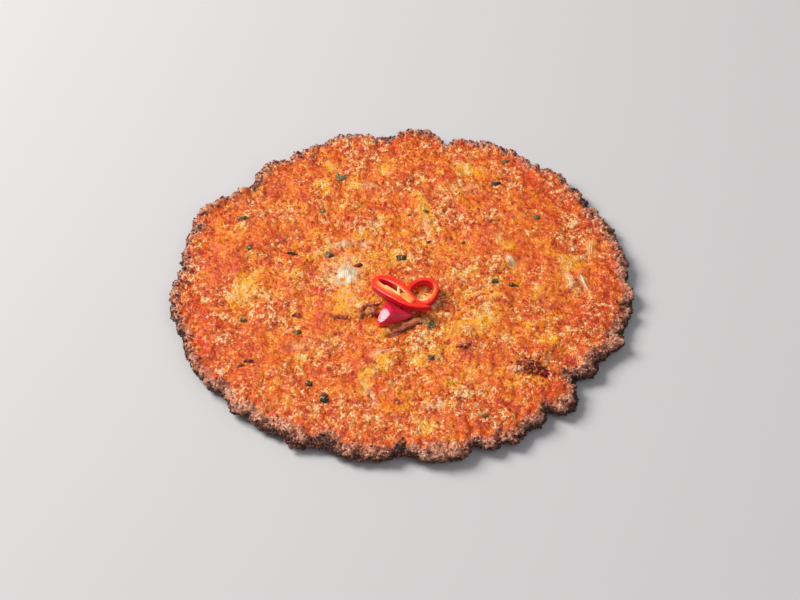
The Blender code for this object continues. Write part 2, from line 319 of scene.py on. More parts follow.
@dataclass(frozen=True)
class PancakeForm:
    """The pancake's form: its outline, its top, and its rim."""

    radius: float = 105.0  # before the notches in the rim
    top: float = 7.6
    shoulder_inset: float = 2.0
    notch_reach: int = 3  # power by which a notch fades towards the middle
    # Distance in from the outline, and share of the rim's height, down the rim's side
    side: Table = ((2.0, 1.0), (0.5, 0.78), (0.0, 0.48), (0.9, 0.16), (3.2, 0.0))
    # The underside's height at the rim, its unevenness, and how it falls to the flat base:
    # distance in, and share of the height
    curl_height: float = 1.9
    curl_wave: Table = ((0.7, 34.0, 8.1),)
    under: Table = ((9.5, 0.3), (18.0, 0.0))
    # Notches broken into the rim: direction in degrees, depth, half-width in degrees
    notches: Table = (
        (28, 2.4, 4), (51, 3.6, 5), (77, 7.0, 2.4), (70, 1.6, 6), (95, 4.6, 5),
        (121, 4.4, 9), (140, 8.0, 8), (176, 3.0, 6), (200, 2.2, 2), (220, 2.2, 2.5),
        (251, 3.2, 3.0), (271, 4.6, 3.6), (288, 3.4, 2.2), (302, 2.6, 1.6), (309, 4.2, 2.6),
        (322, 8.2, 3.6), (331, 5.4, 5),
    )
    # The rim's lip, raised or slumped: direction, rise, half-width; how far in, how wide
    lips: Table = ((150, 1.9, 22), (188, 0.9, 14), (255, -0.9, 40), (330, -0.6, 30), (60, 0.5, 30))
    lip_inset: float = 3.0
    lip_width: float = 3.2
    slump: Span = (0.9, 2.6)  # how far the top drops at the very rim, and over what width
    # Smooth waves of the outline and of the top: rise, length, layer of the noise
    rim_waves: Table = ((1.1, 11.0, 2.3), (1.0, 5.2, 5.7))
    top_waves: Table = ((1.3, 44.0, 1.7), (0.8, 8.5, 4.6))
    # Soft lumps, and browned crags along the rim: rise, length, share below the top
    lump: Row = (1.1, 17.0, 0.5)
    crag: Row = (1.6, 5.2, 0.55)
    crag_band: float = 10.0  # how far in from the rim the crags reach
    crag_reach: float = 1.7  # how far they stand out of its side
    crag_layer: float = 4.0
    lump_size: float = 0.7  # a lump's radius as a share of its length
    # What keeps the lumps off a grid
    wander: float = 0.4
    wander_length: float = 15.0
    wander_layers: Span = (3.4, 6.2)
    # Folds of kimchi under the batter, and hollows: x, y, length, width, direction, rise
    folds: Table = (
        (-26, 5, 15, 8, -35, 0.9), (-27, 23, 9, 5, 20, 0.7), (50, 11, 9, 6, 30, 0.8),
        (77, -1, 13, 6, 80, 0.8), (88, 21, 11, 6, 60, 0.7), (64, -44, 17, 5, 42, 1.5),
        (57, -55, 7, 6, 0, 2.4), (50, -56, 6, 5, 0, 1.6), (29, -45, 9, 7, 20, 1.3),
        (-13, -24, 12, 3, 12, -1.3), (0, -33, 14, 3, 24, -1.5), (-73, -12, 12, 9, 10, -0.8),
        (-25, -14, 14, 9, 60, -0.7), (-8, -62, 26, 5, -52, 1.2), (12, -58, 22, 4, -70, 0.9),
        (-55, -16, 12, 7, 40, 0.8), (13, 36, 18, 4, -75, 0.8), (-15, 62, 10, 6, 0, 0.8),
        (33, 62, 12, 7, 30, 0.7), (70, 60, 20, 5, -48, -0.8), (-60, 60, 24, 5, 40, -0.9),
    )
    # Calmer ground under the chilli: x, y and radius, and the share of the relief it loses
    seat: Row = (2.0, -15.0, 19.0)
    seat_calm: float = 0.8
    # The browned rim's width, what is added to it in some directions, and its unevenness
    brown_width: float = 1.7
    brown_more: Table = (
        (258, 3.6, 34), (236, 2.0, 12), (325, 3.0, 26), (120, 2.4, 42), (10, 2.4, 34),
        (65, 1.4, 30), (185, 1.0, 25),
    )
    brown_waves: Table = ((2.4, 12.0, 21.0), (1.6, 4.0, 23.0))
    brown_fade: float = 3.2
    # Heights between which painted shade darkens the rim's side, with some browning from the pan,
    # and creases where that painted shade starts higher up: direction in degrees, rise, half-width
    # in degrees
    painted_shade_heights: Span = (6.6, 3.8)
    creases: Table = (
        (251, 1.6, 3.0), (270, 2.6, 3.0), (288, 1.2, 2.0), (309, 2.2, 2.0), (322, 1.6, 3.6),
        (331, 1.2, 4.0),
    )

    def rim_radius(self, angle: Array) -> Array:
        """Give the outline's radius in each direction, in radians."""
        uneven = waves(*polar(self.radius, angle), self.rim_waves)
        return self.radius - bells_round(angle, self.notches) + uneven

    def curl(self, angle: Array) -> Array:
        """Give the height of the underside at the rim in each direction."""
        return self.curl_height * (1 + waves(*polar(self.radius, angle), self.curl_wave))

    def edge(self, x: Array, y: Array) -> Array:
        """Give how far in from the outline each place is."""
        return self.rim_radius(np.arctan2(y, x)) - np.hypot(x, y)

    def browned(self, x: Array, y: Array) -> Array:
        """Say where the rim is browned.

        Args:
            x: places from left to right.
            y: places from front to back.

        Returns:
            0 for plain batter to 1 for the browned rim, for each place.
        """
        width = self.brown_width + bells_round(np.arctan2(y, x), self.brown_more)
        edge = self.edge(x, y) + waves(x, y, self.brown_waves)
        return ease(width - edge, -self.brown_fade, self.brown_fade)

    def shade(self, points: Array) -> Array:
        """Say where painted shade darkens the rim's side, under its crest and in its creases.

        Args:
            points: places in space.

        Returns:
            0 on the rim's crest to 1 far down its side, for each place.
        """
        x, y, z = points.T
        top, bottom = self.painted_shade_heights
        return ease(bells_round(np.arctan2(y, x), self.creases) - z, -top, -bottom)

    def lumps(self, points: Array, length: float) -> Array:
        """Rounded lumps with cracks between them.

        Args:
            points: places in space.
            length: about how wide a lump is.

        Returns:
            0 in the cracks to 1 on top of a lump, for each place.
        """
        x, y = points[:, 0], points[:, 1]
        shifted = points / length
        for axis, layer in enumerate(self.wander_layers):
            shifted[:, axis] += self.wander * wave(x, y, self.wander_length, layer)
        nearest = np.array([noise.voronoi(place)[0][0] for place in shifted.tolist()])
        return np.maximum(0.0, 1 - (nearest / self.lump_size) ** 2)

    def top_height(self, x: Array, y: Array) -> Array:
        """Work out the top's height.

        Args:
            x: places from left to right.
            y: places from front to back.

        Returns:
            The height of the top over each place.
        """
        angle = np.arctan2(y, x)
        edge = self.edge(x, y)
        seat_x, seat_y, seat_radius = self.seat
        seat = bell(np.hypot(x - seat_x, y - seat_y), seat_radius)
        craggy = bell(np.maximum(edge, 0.0), self.crag_band)
        relief = waves(x, y, self.top_waves)
        for (rise, length, level), layer, share in (
            (self.lump, 0.0, 1.0), (self.crag, self.crag_layer, craggy),
        ):
            lumps = self.lumps(np.stack([x, y, np.full(len(x), layer)], 1), length)
            relief += rise * share * (lumps - level)
        relief *= 1 - self.seat_calm * seat
        lip = bells_round(angle, self.lips) * bell(edge - self.lip_inset, self.lip_width)
        drop, width = self.slump
        folds = patches(x, y, self.folds)
        return self.top + relief + folds + lip - drop * bell(edge, width)

    def side_points(self, angle: Array, inset: float, level: float) -> Array:
        """Give a row of points round the rim's side.

        Args:
            angle: the direction of each point, in radians.
            inset: how far in from the outline they are.
            level: their height, as a share of the rim's own.

        Returns:
            The points.
        """
        outline = self.rim_radius(angle)
        low = self.curl(angle)
        top = self.top_height(*polar(outline - self.shoulder_inset, angle))
        height = low + level * (top - low)
        radius = outline - inset
        lumps = self.lumps(np.stack([*polar(radius, angle), height], 1), self.crag[1])
        radius = radius + self.crag_reach * (lumps - self.crag[2])
        return np.stack([*polar(radius, angle), height], 1)


# --- Mesh making -------------------------------------------------------------------------


class Shape:
    """Points, faces and named numbers of one mesh, gathered piece by piece."""

    def __init__(self) -> None:
        """Start with nothing."""
        self.points: list[Array] = []
        self.faces: list[Array] = []
        self.numbers: dict[str, list[Array]] = {}
        self.count = 0

    def add(self, points: Array, faces: Array, **numbers: Array | float) -> None:
        """Add one closed form.

        Args:
            points: its points, in millimetres.
            faces: its faces, as places in those points.
            numbers: what its material reads, one value or one for each point.
        """
        self.points.append(points)
        self.faces.append(np.asarray(faces) + self.count)
        self.count += len(points)
        for name, values in numbers.items():
            full = np.broadcast_to(np.asarray(values, float), len(points))
            self.numbers.setdefault(name, []).append(full)

    def build(self, name: str, node: str) -> bpy.types.Object:
        """Write the mesh, kept inside the box of the solid that it dresses.

        Args:
            name: the object's name.
            node: the solid's name.

        Returns:
            The object, in the scene, smoothly shaded.
        """
        mesh = bpy.data.meshes.new(name)
        faces = [face for block in self.faces for face in block.tolist()]
        low, high = (np.array(corner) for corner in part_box(node))
        points = np.clip(np.concatenate(self.points) * MM, low, high)
        mesh.from_pydata(points.tolist(), [], faces)
        for label, blocks in self.numbers.items():
            values = np.concatenate(blocks).astype(np.float32)
            mesh.attributes.new(label, "FLOAT", "POINT").data.foreach_set("value", values)
        mesh.shade_smooth()
        made = bpy.data.objects.new(name, mesh)
        bpy.context.scene.collection.objects.link(made)
        return made


def ball(rings: int) -> tuple[Array, Array]:
    """Give the points and faces of a round ball of triangles.

    Args:
        rings: how often the triangles are split, from 1.

    Returns:
        Points on a ball of radius 1, and faces.
    """
    mesh = bmesh.new()
    bmesh.ops.create_icosphere(mesh, subdivisions=rings, radius=1)
    mesh.verts.index_update()
    points = np.array([tuple(point.co) for point in mesh.verts])
    faces = np.array([[point.index for point in face.verts] for face in mesh.faces])
    mesh.free()
    return points, faces


def grid_faces(rows: int, columns: int) -> Array:
    """Give the faces between rows of points, where each row closes on itself.

    Args:
        rows: how many rows there are.
        columns: how many points each row has.

    Returns:
        The faces, four points each.
    """
    row, column = np.meshgrid(np.arange(rows - 1), np.arange(columns), indexing="ij")
    here, ahead = row * columns + column, row * columns + (column + 1) % columns
    return np.stack([here, ahead, ahead + columns, here + columns], -1).reshape(-1, 4)


@dataclass(frozen=True)
class Grains:
    """Small lumpy grains to set on a surface."""

    radius: Span
    splits: int = 1  # how finely each is meshed
    flatness: float = 0.8  # thickness as a share of its width
    lumpiness: float = 0.12
    stretch: float = 0.25
    sunk: float = 0.3  # share of its radius that is under the surface

    def strew(
        self, shape: Shape, draw: np.random.Generator, places: Array, normals: Array,
        **numbers: Array,
    ) -> None:
        """Add one grain at each place.

        Args:
            shape: the mesh they go into.
            draw: the source of chance.
            places: where they sit.
            normals: which way is out there.
            numbers: what the material reads, one value for each grain.
        """
        points, faces = ball(self.splits)
        for index, (place, normal) in enumerate(zip(places, normals)):
            radius = draw.uniform(*self.radius)
            grain = points * (1 + self.lumpiness * draw.standard_normal((len(points), 1)))
            grain = grain * radius * draw.uniform(1 - self.stretch, 1 + self.stretch, 3)
            grain[:, 2] *= self.flatness
            upright = Vector(normal).to_track_quat("Z", "Y").to_matrix()
            turn = np.array(upright @ Matrix.Rotation(draw.uniform(0, 2 * math.pi), 3, "Z"))
            rise = radius * (self.flatness - self.sunk)
            own = {name: values[index] for name, values in numbers.items()}
            shape.add(grain @ turn.T + place + rise * normal, faces, **own)


class Ground:
    """The surface of a built mesh, to set small things on."""

    def __init__(self, thing: bpy.types.Object) -> None:
        """Read the mesh.

        Args:
            thing: the built object.
        """
        mesh = thing.data
        self.points, self.normals = (
            np.empty((len(mesh.vertices), 3), np.float32) for _ in range(2)
        )
        mesh.vertices.foreach_get("co", self.points.ravel())
        mesh.vertex_normals.foreach_get("vector", self.normals.ravel())
        self.points /= MM
        faces = [tuple(face.vertices) for face in mesh.polygons]
        self.tree = BVHTree.FromPolygons(self.points.tolist(), faces)

    def seats(self, x: Array, y: Array) -> tuple[Array, Array]:
        """Look down on the surface.

        Args:
            x: places from left to right.
            y: places from front to back.

        Returns:
            The point of the surface under each place, and its normal.
        """
        above, down = 60.0, Vector((0, 0, -1))
        found = [self.tree.ray_cast(Vector((a, b, above)), down) for a, b in zip(x, y)]
        places, normals = (np.array([tuple(hit[part]) for hit in found]) for part in (0, 1))
        return places, normals


@dataclass(frozen=True)
class Crumpled:
    """A small crumpled scrap that lies on a surface and follows it."""

    height: float
    scraps: int = 1  # smaller ones that it is made of
    fold: float = 1.3  # from one fold to the next
    depth: float = 0.45  # of the folds, as a share of the height
    ragged: float = 0.22  # how uneven its outline is
    lumpiness: float = 0.1
    bend: float = 0.0  # how far a long one wanders to the side
    sunk: float = 0.25  # share of its height that is under the surface
    splits: int = 4
    ragged_length: float = 0.8 / 1.5  # waves of the outline, on a ball of radius 1
    fold_layer: float = 4.0
    fold_edges: Span = (0.3, 1.0)  # where a fold starts to be an edge
    # What sets the smaller scraps apart: turn in degrees, size lost, share moved
    scrap_turn: float = 60.0
    scrap_loss: Span = (0.3, 0.65)
    scrap_move: float = 0.28

    def lay(
        self, shape: Shape, draw: np.random.Generator, ground: Ground, place: Sequence[float],
        **numbers: float,
    ) -> None:
        """Add one scrap, or a heap of smaller ones.

        Args:
            shape: the mesh it goes into.
            draw: the source of chance.
            ground: the surface it lies on.
            place: its x, y, length, width and direction.
            numbers: what the material reads, one value for the scrap.
        """
        x, y, length, width, direction = place
        points, faces = ball(self.splits)
        spread = 1 - 1 / self.scraps
        for _ in range(self.scraps):
            layer = draw.uniform(0, NOISE_LAYERS)
            towards = direction + spread * draw.uniform(-self.scrap_turn, self.scrap_turn)
            size = 1 - spread * draw.uniform(*self.scrap_loss)
            move = draw.uniform(-self.scrap_move, self.scrap_move, 2) * spread * [length, width]
            rough = 1 + self.lumpiness * draw.standard_normal(len(points))
            out = rough + self.ragged * wave(*points[:, :2].T, self.ragged_length, layer)
            along, across = (points[:, :2] * out[:, None] * [length, width] * size / 2).T
            across = across + self.bend * wave(along, 0 * along, length / 2, layer)
            crest = 1 - 2 * np.abs(wave(along, across, self.fold, layer + self.fold_layer))
            high = points[:, 2] * rough * (1 + self.depth * crest) + 1 - 2 * self.sunk
            seats, _ = ground.seats(*laid(x + move[0], y + move[1], along, across, towards))
            seats[:, 2] += high * self.height / 2
            shape.add(seats, faces, edge=ease(crest, *self.fold_edges), **numbers)


class Finish(Protocol):
    """Anything that makes a material."""

    def material(self) -> bpy.types.Material:
        """Make the material."""


def dress(piece: bpy.types.Object, finish: Finish, slot: Slot, *nodes: str) -> None:
    """Give a piece its material, and place it in the frame.

    Args:
        piece: the object.
        finish: the finish that makes its material.
        slot: the record's slot it belongs to; not used.
        nodes: the solids that it stands for, if any.
    """
    piece.data.materials.append(finish.material())
    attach(piece, "root")
    if nodes:
        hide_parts(*nodes)
    log.info("%s: %d faces", piece.name, len(piece.data.polygons))


# --- Finishes ----------------------------------------------------------------------------


@dataclass(frozen=True)
class FriedBatter:
    """Wheat batter stained by kimchi brine, shallow-fried in oil.

    Frying leaves a rough crust of grains under a millimetre wide, golden on their tops and
    red-brown in the gaps, partly as painted light and shade that follow each point's height on
    its crumb, with a film of oil that gives each grain its own small glint. Pale painted glints
    and thin painted highlight strokes lie in the colour as well.
    """

    name: str = "shallow_fried_kimchi_batter"
    gap: str = "#A42C0A"
    red: str = "#D8440E"
    body: str = "#EE6E0A"
    yellow: str = "#FFB01E"
    golden: str = "#F29628"
    # painted highlight: the colour of the thin painted highlight strokes
    crest: str = "#FFD08C"
    # painted highlight: the colour of the pale glints painted on the grains
    pale: str = "#FFDAA8"
    kimchi: str = "#F0D8A4"
    tan: str = "#E8A688"
    brown: str = "#A65C42"
    # burnt: real burnt marks, and painted shade in cracks and down the rim's side
    burnt: str = "#32180F"
    field_mm: float = 24.0  # wide fields of redder and yellower batter
    mottle_mm: float = 6.5  # patches in them
    cluster_mm: float = 13.0  # where the grains stand out from the oil, with more painted glints and strokes
    smoothest: float = 0.75  # what is left of the grains between those places
    clump_mm: float = 2.4
    fleck_mm: float = 2.6
    bead_mm: float = 1.6  # beads in the film of oil
    strand_mm: float = 1.9  # between the painted highlight strokes
    grain_mm: float = 0.9  # grains of crust; a render's pixel is 0.45 mm
    roughness: float = 0.5

    def material(self) -> bpy.types.Material:
        """Make the material.

        Returns:
            The material.
        """
        graph = Graph(self.name)
        mottle = graph.pattern("Noise", self.mottle_mm, Detail=4.0, Roughness=0.62)
        field = graph.pattern("Noise", self.field_mm, Detail=2.0)
        cluster = graph.pattern("Noise", self.cluster_mm, Detail=1.5)
        fleck = graph.pattern("Noise", self.fleck_mm, Detail=4.0, Roughness=0.85)
        fine = graph.pattern("Noise", self.grain_mm / 2, Detail=2.0, Roughness=0.7)
        beads = graph.pattern("Noise", self.bead_mm, Detail=1.0)
        strand = graph.pattern("Noise", self.strand_mm, Detail=1.0)
        grain, clump = (
            {output: graph.pattern("Voronoi", wide, output) for output in ("Color", "Distance")}
            for wide in (self.grain_mm, self.clump_mm)
        )
        # Smooth oily stretches lie between rough ones, where the grains stand out
        rough = graph.add("MapRange", {
            "Value": graph.sum((cluster, 1.0), (graph.number("browned"), 0.3)),
            "From Min": 0.40, "From Max": 0.58, "To Min": self.smoothest, "To Max": 1.0,
        })
        # Tone: noise and random grain colours, plus a little of each point's height on its crumb,
        # which is painted light on the crumbs' tops and painted shade in the gaps
        contrast = graph.sum(
            (fleck, 1.0), (grain["Color"], 0.50), (clump["Color"], 0.12),
            (graph.number("crumb"), 0.2), (1.0, -0.91),
        )
        tone = graph.sum((contrast, rough))
        hue = graph.sum(
            (mottle, 0.78), (field, 0.25), (contrast, 0.25),
            (graph.number("red"), -0.12), (graph.number("yellow"), 0.23),
        )
        # Painted highlights: thin pale strokes where a coarse noise crosses its middle, broken up
        off_stroke_line = graph.add(
            "Math", {0: graph.sum((strand, 1.0), (1.0, -0.5))}, operation="ABSOLUTE"
        )
        painted_stroke = graph.sum(
            (clump["Color"], 0.5), (cluster, 0.6), (tone, 0.5), (off_stroke_line, -3.5),
            (graph.number("yellow"), 0.08), (graph.number("plain"), -0.16),
        )
        # Painted highlights: pale glints on the grains, fewer on the plain stretches
        painted_glint = graph.sum((tone, 1.0), (cluster, 0.3), (graph.number("plain"), -0.08))
        colour = graph.layers(
            self.red,
            (self.body, hue, 0.35, 0.51),
            (self.yellow, hue, 0.52, 0.68),
            (self.kimchi, graph.number("pale"), 0.0, 1.0),
            (self.golden, tone, 0.07, 0.20),
        )
        # Low tone shows the gap colour: red-brown grains, and painted shade in the low places
        # between crumbs
        colour = graph.layers(
            graph.layers(self.gap, (self.body, hue, 0.50, 0.64)),
            (colour, tone, -0.22, -0.08),
            # painted highlights: thin pale strokes, then pale glints
            (self.crest, painted_stroke, 0.58, 0.70),
            (self.pale, painted_glint, 0.32, 0.40),
        )
        crust = graph.layers(self.brown, (self.tan, tone, -0.3, 0.0))
        colour = graph.layers(
            colour,
            (crust, graph.number("browned"), 0.0, 1.0),
            # real burnt marks, with painted shade in the cracks and down the rim's side
            (self.burnt, graph.number("burnt"), 0.0, 1.0),
        )
        relief = graph.sum((grain["Distance"], -1.0), (clump["Distance"], -0.8), (fine, 0.5))
        film = graph.sum((clump["Distance"], -0.8), (beads, 1.0), (fine, 0.3))
        span = {
            "Value": fleck, "From Min": 0.3, "From Max": 0.7,
            "To Min": self.roughness - 0.12, "To Max": self.roughness + 0.14,
        }
        return graph.finish(
            colour, graph.add("MapRange", span),
            (graph.sum((relief, rough)), 0.6), (graph.sum((film, rough)), 1.4),
            Coat_Weight=1.0, Coat_Roughness=0.09, Specular_IOR_Level=0.0,
        )


@dataclass(frozen=True)
class BrownedCrumb:
    """Crumbs of batter fried hard at the pan's edge.

    Each crumb took its own heat, so tan and nearly black ones lie side by side. They are dry,
    with a dull sheen.
    """

    name: str = "hard_fried_batter_crumbs"
    black: str = "#3E1C12"
    brown: str = "#9C523A"
    tan: str = "#E2A082"
    pink: str = "#F8C8AA"
    pit_mm: float = 0.5

    def material(self) -> bpy.types.Material:
        """Make the material.

        Returns:
            The material.
        """
        graph = Graph(self.name)
        pits = graph.pattern("Noise", self.pit_mm, Detail=2.0)
        tone = graph.sum((graph.number("tone"), 1.0), (pits, 0.3), (graph.number("edge"), 0.3))
        colour = graph.layers(
            self.black,
            (self.brown, tone, 0.10, 0.34),
            (self.tan, tone, 0.38, 0.66),
            (self.pink, tone, 0.80, 1.10),
        )
        return graph.finish(
            colour, 0.55, (pits, 0.15), (pits, 0.1),
            Coat_Weight=0.3, Coat_Roughness=0.2, Specular_IOR_Level=0.3,
        )


@dataclass(frozen=True)
class FriedScallion:
    """Chopped scallion leaf, darkened in hot oil.

    The leaf's skin is smooth and oily and it is crumpled, so it is nearly black, with small
    cool painted glints, a few more on the crests of its folds, and a little olive green.
    """

    name: str = "fried_scallion_leaf"
    dark: str = "#30200F"
    green: str = "#6A6230"
    # painted highlight: the colour of the painted glints
    pale: str = "#D2CCAC"
    vein_mm: float = 1.1
    patch_mm: float = 2.2

    def material(self) -> bpy.types.Material:
        """Make the material.

        Returns:
            The material.
        """
        graph = Graph(self.name)
        # the same noise gives the painted glints and the fine relief
        veins = graph.pattern("Noise", self.vein_mm, Detail=1.0, Roughness=0.6)
        patch = graph.pattern("Noise", self.patch_mm, Detail=1.0)
        olive = graph.sum((patch, 0.8), (graph.number("tone"), 0.4))
        painted_glint = graph.sum((veins, 1.0), (graph.number("edge"), 0.06))
        colour = graph.layers(
            self.dark, (self.green, olive, 0.42, 0.74), (self.pale, painted_glint, 0.62, 0.76)
        )
        return graph.finish(
            colour, 0.5, (veins, 0.4), (patch, 1.0),
            Coat_Weight=0.25, Coat_Roughness=0.08, Specular_IOR_Level=0.1,
        )


@dataclass(frozen=True)
class CookedKimchi:
    """Cabbage from kimchi, cooked until it lets the light through.

    The ribs run side by side as fine pale lines, and the orange batter stains the edges.
    """

    name: str = "cooked_kimchi_cabbage"
    flesh: str = "#CEAA80"
    rib: str = "#E8D2B0"
    stain: str = "#EE8A1C"
    rib_mm: float = 0.8
    blotch_mm: float = 3.0

    def material(self) -> bpy.types.Material:
        """Make the material.

        Returns:
            The material.
        """
        graph = Graph(self.name)
        across = graph.add(
            "TexNoise", {"W": graph.number("across"), "Scale": 1 / self.rib_mm, "Detail": 2.0},
            "Fac", noise_dimensions="1D",
        )
        blotch = graph.pattern("Noise", self.blotch_mm, Detail=3.0, Roughness=0.6)
        stained = graph.sum(
            (graph.number("edge"), 1.0), (blotch, 0.8), (graph.number("stain"), 0.6)
        )
        colour = graph.layers(
            self.flesh, (self.rib, across, 0.42, 0.62), (self.stain, stained, 0.85, 1.25)
        )
        return graph.finish(
            colour, 0.4, (across, 0.3), (blotch, 1.2), Coat_Weight=0.8, Coat_Roughness=0.1
        )


@dataclass(frozen=True)
class ChilliFlake:
    """Dried red chilli flakes soaked in oil: dark red skins, and brighter torn edges.

    The strips that lay longest in the hot oil are browned nearly to black.
    """

    name: str = "oiled_chilli_flakes"
    burnt: str = "#40140C"
    dark: str = "#A8100C"
    red: str = "#D81C14"
    bright: str = "#F0503A"
    wrinkle_mm: float = 0.4

    def material(self) -> bpy.types.Material:
        """Make the material.

        Returns:
            The material.
        """
        graph = Graph(self.name)
        wrinkles = graph.pattern("Noise", self.wrinkle_mm, Detail=2.0)
        tone = graph.sum((graph.number("tone"), 1.0), (wrinkles, 0.4), (graph.number("edge"), 0.5))
        colour = graph.layers(
            self.burnt, (self.dark, tone, -0.40, 0.20),
            (self.red, tone, 0.30, 0.60), (self.bright, tone, 0.80, 1.20),
        )
        return graph.finish(
            colour, 0.5, (wrinkles, 0.1), (wrinkles, 0.1),
            Coat_Weight=0.3, Coat_Roughness=0.15, Specular_IOR_Level=0.2,
        )


@dataclass(frozen=True)
class FreshChilli:
    """Fresh red chilli, cut and wet.

    The skin is waxy and smooth, the cut flesh is brighter and finely grained, and pale
    placenta runs along the inside.
    """

    name: str = "fresh_red_chilli"
    skin: str = "#D00628"
    # inner skin, lighter than the outer skin: painted light that stands in for light through the
    # flesh
    deep: str = "#E8142C"
    cut: str = "#F6301E"
    flesh: str = "#F08030"
    pale: str = "#FACB84"
    cell_mm: float = 0.7
    ripple_mm: float = 1.8
    ripple: float = 0.45  # depth of the ripples in the film of water
    wetness: float = 0.8
    sharpness: float = 0.12  # roughness of that film
    roughness: float = 0.35
    gloss: float = 0.0  # of the skin under the film

    def material(self) -> bpy.types.Material:
        """Make the material.

        Returns:
            The material.
        """
        graph = Graph(self.name)
        cells = graph.pattern("Noise", self.cell_mm, Detail=3.0, Roughness=0.6)
        ripples = graph.pattern("Noise", self.ripple_mm, Detail=2.0, Roughness=0.6)
        uneven = graph.sum((cells, 0.3), (1.0, -0.15))
        flesh, pale = (
            graph.sum((graph.number(label), 1.0), (uneven, 1.0)) for label in ("flesh", "pale")
        )
        colour = graph.layers(
            self.skin,
            # painted light: the inner wall's lighter red
            (self.deep, graph.number("inner"), 0.0, 1.0),
            (self.cut, graph.number("cut"), 0.0, 1.0),
            (self.flesh, flesh, 0.10, 0.80),
            (self.pale, pale, 0.20, 0.80),
        )
        return graph.finish(
            colour, self.roughness, (cells, 0.10), (ripples, self.ripple),
            Coat_Weight=self.wetness, Coat_Roughness=self.sharpness,
            Specular_IOR_Level=self.gloss,
        )


@dataclass(frozen=True)
class PaintedFloor:
    """Matt painted board: a plain, even, pale grey ground."""

    name: str = "matt_painted_board"
    colour: str = "#CCC9CA"
    grain_mm: float = 1.1

    def material(self) -> bpy.types.Material:
        """Make the material.

        Returns:
            The material.
        """
        graph = Graph(self.name)
        grain = graph.pattern("Noise", self.grain_mm, Detail=2.0)
        return graph.finish(srgb(self.colour), 0.8, (grain, 0.005), (grain, 0.0))


# --- Sub-assemblies ------------------------------------------------------------------------


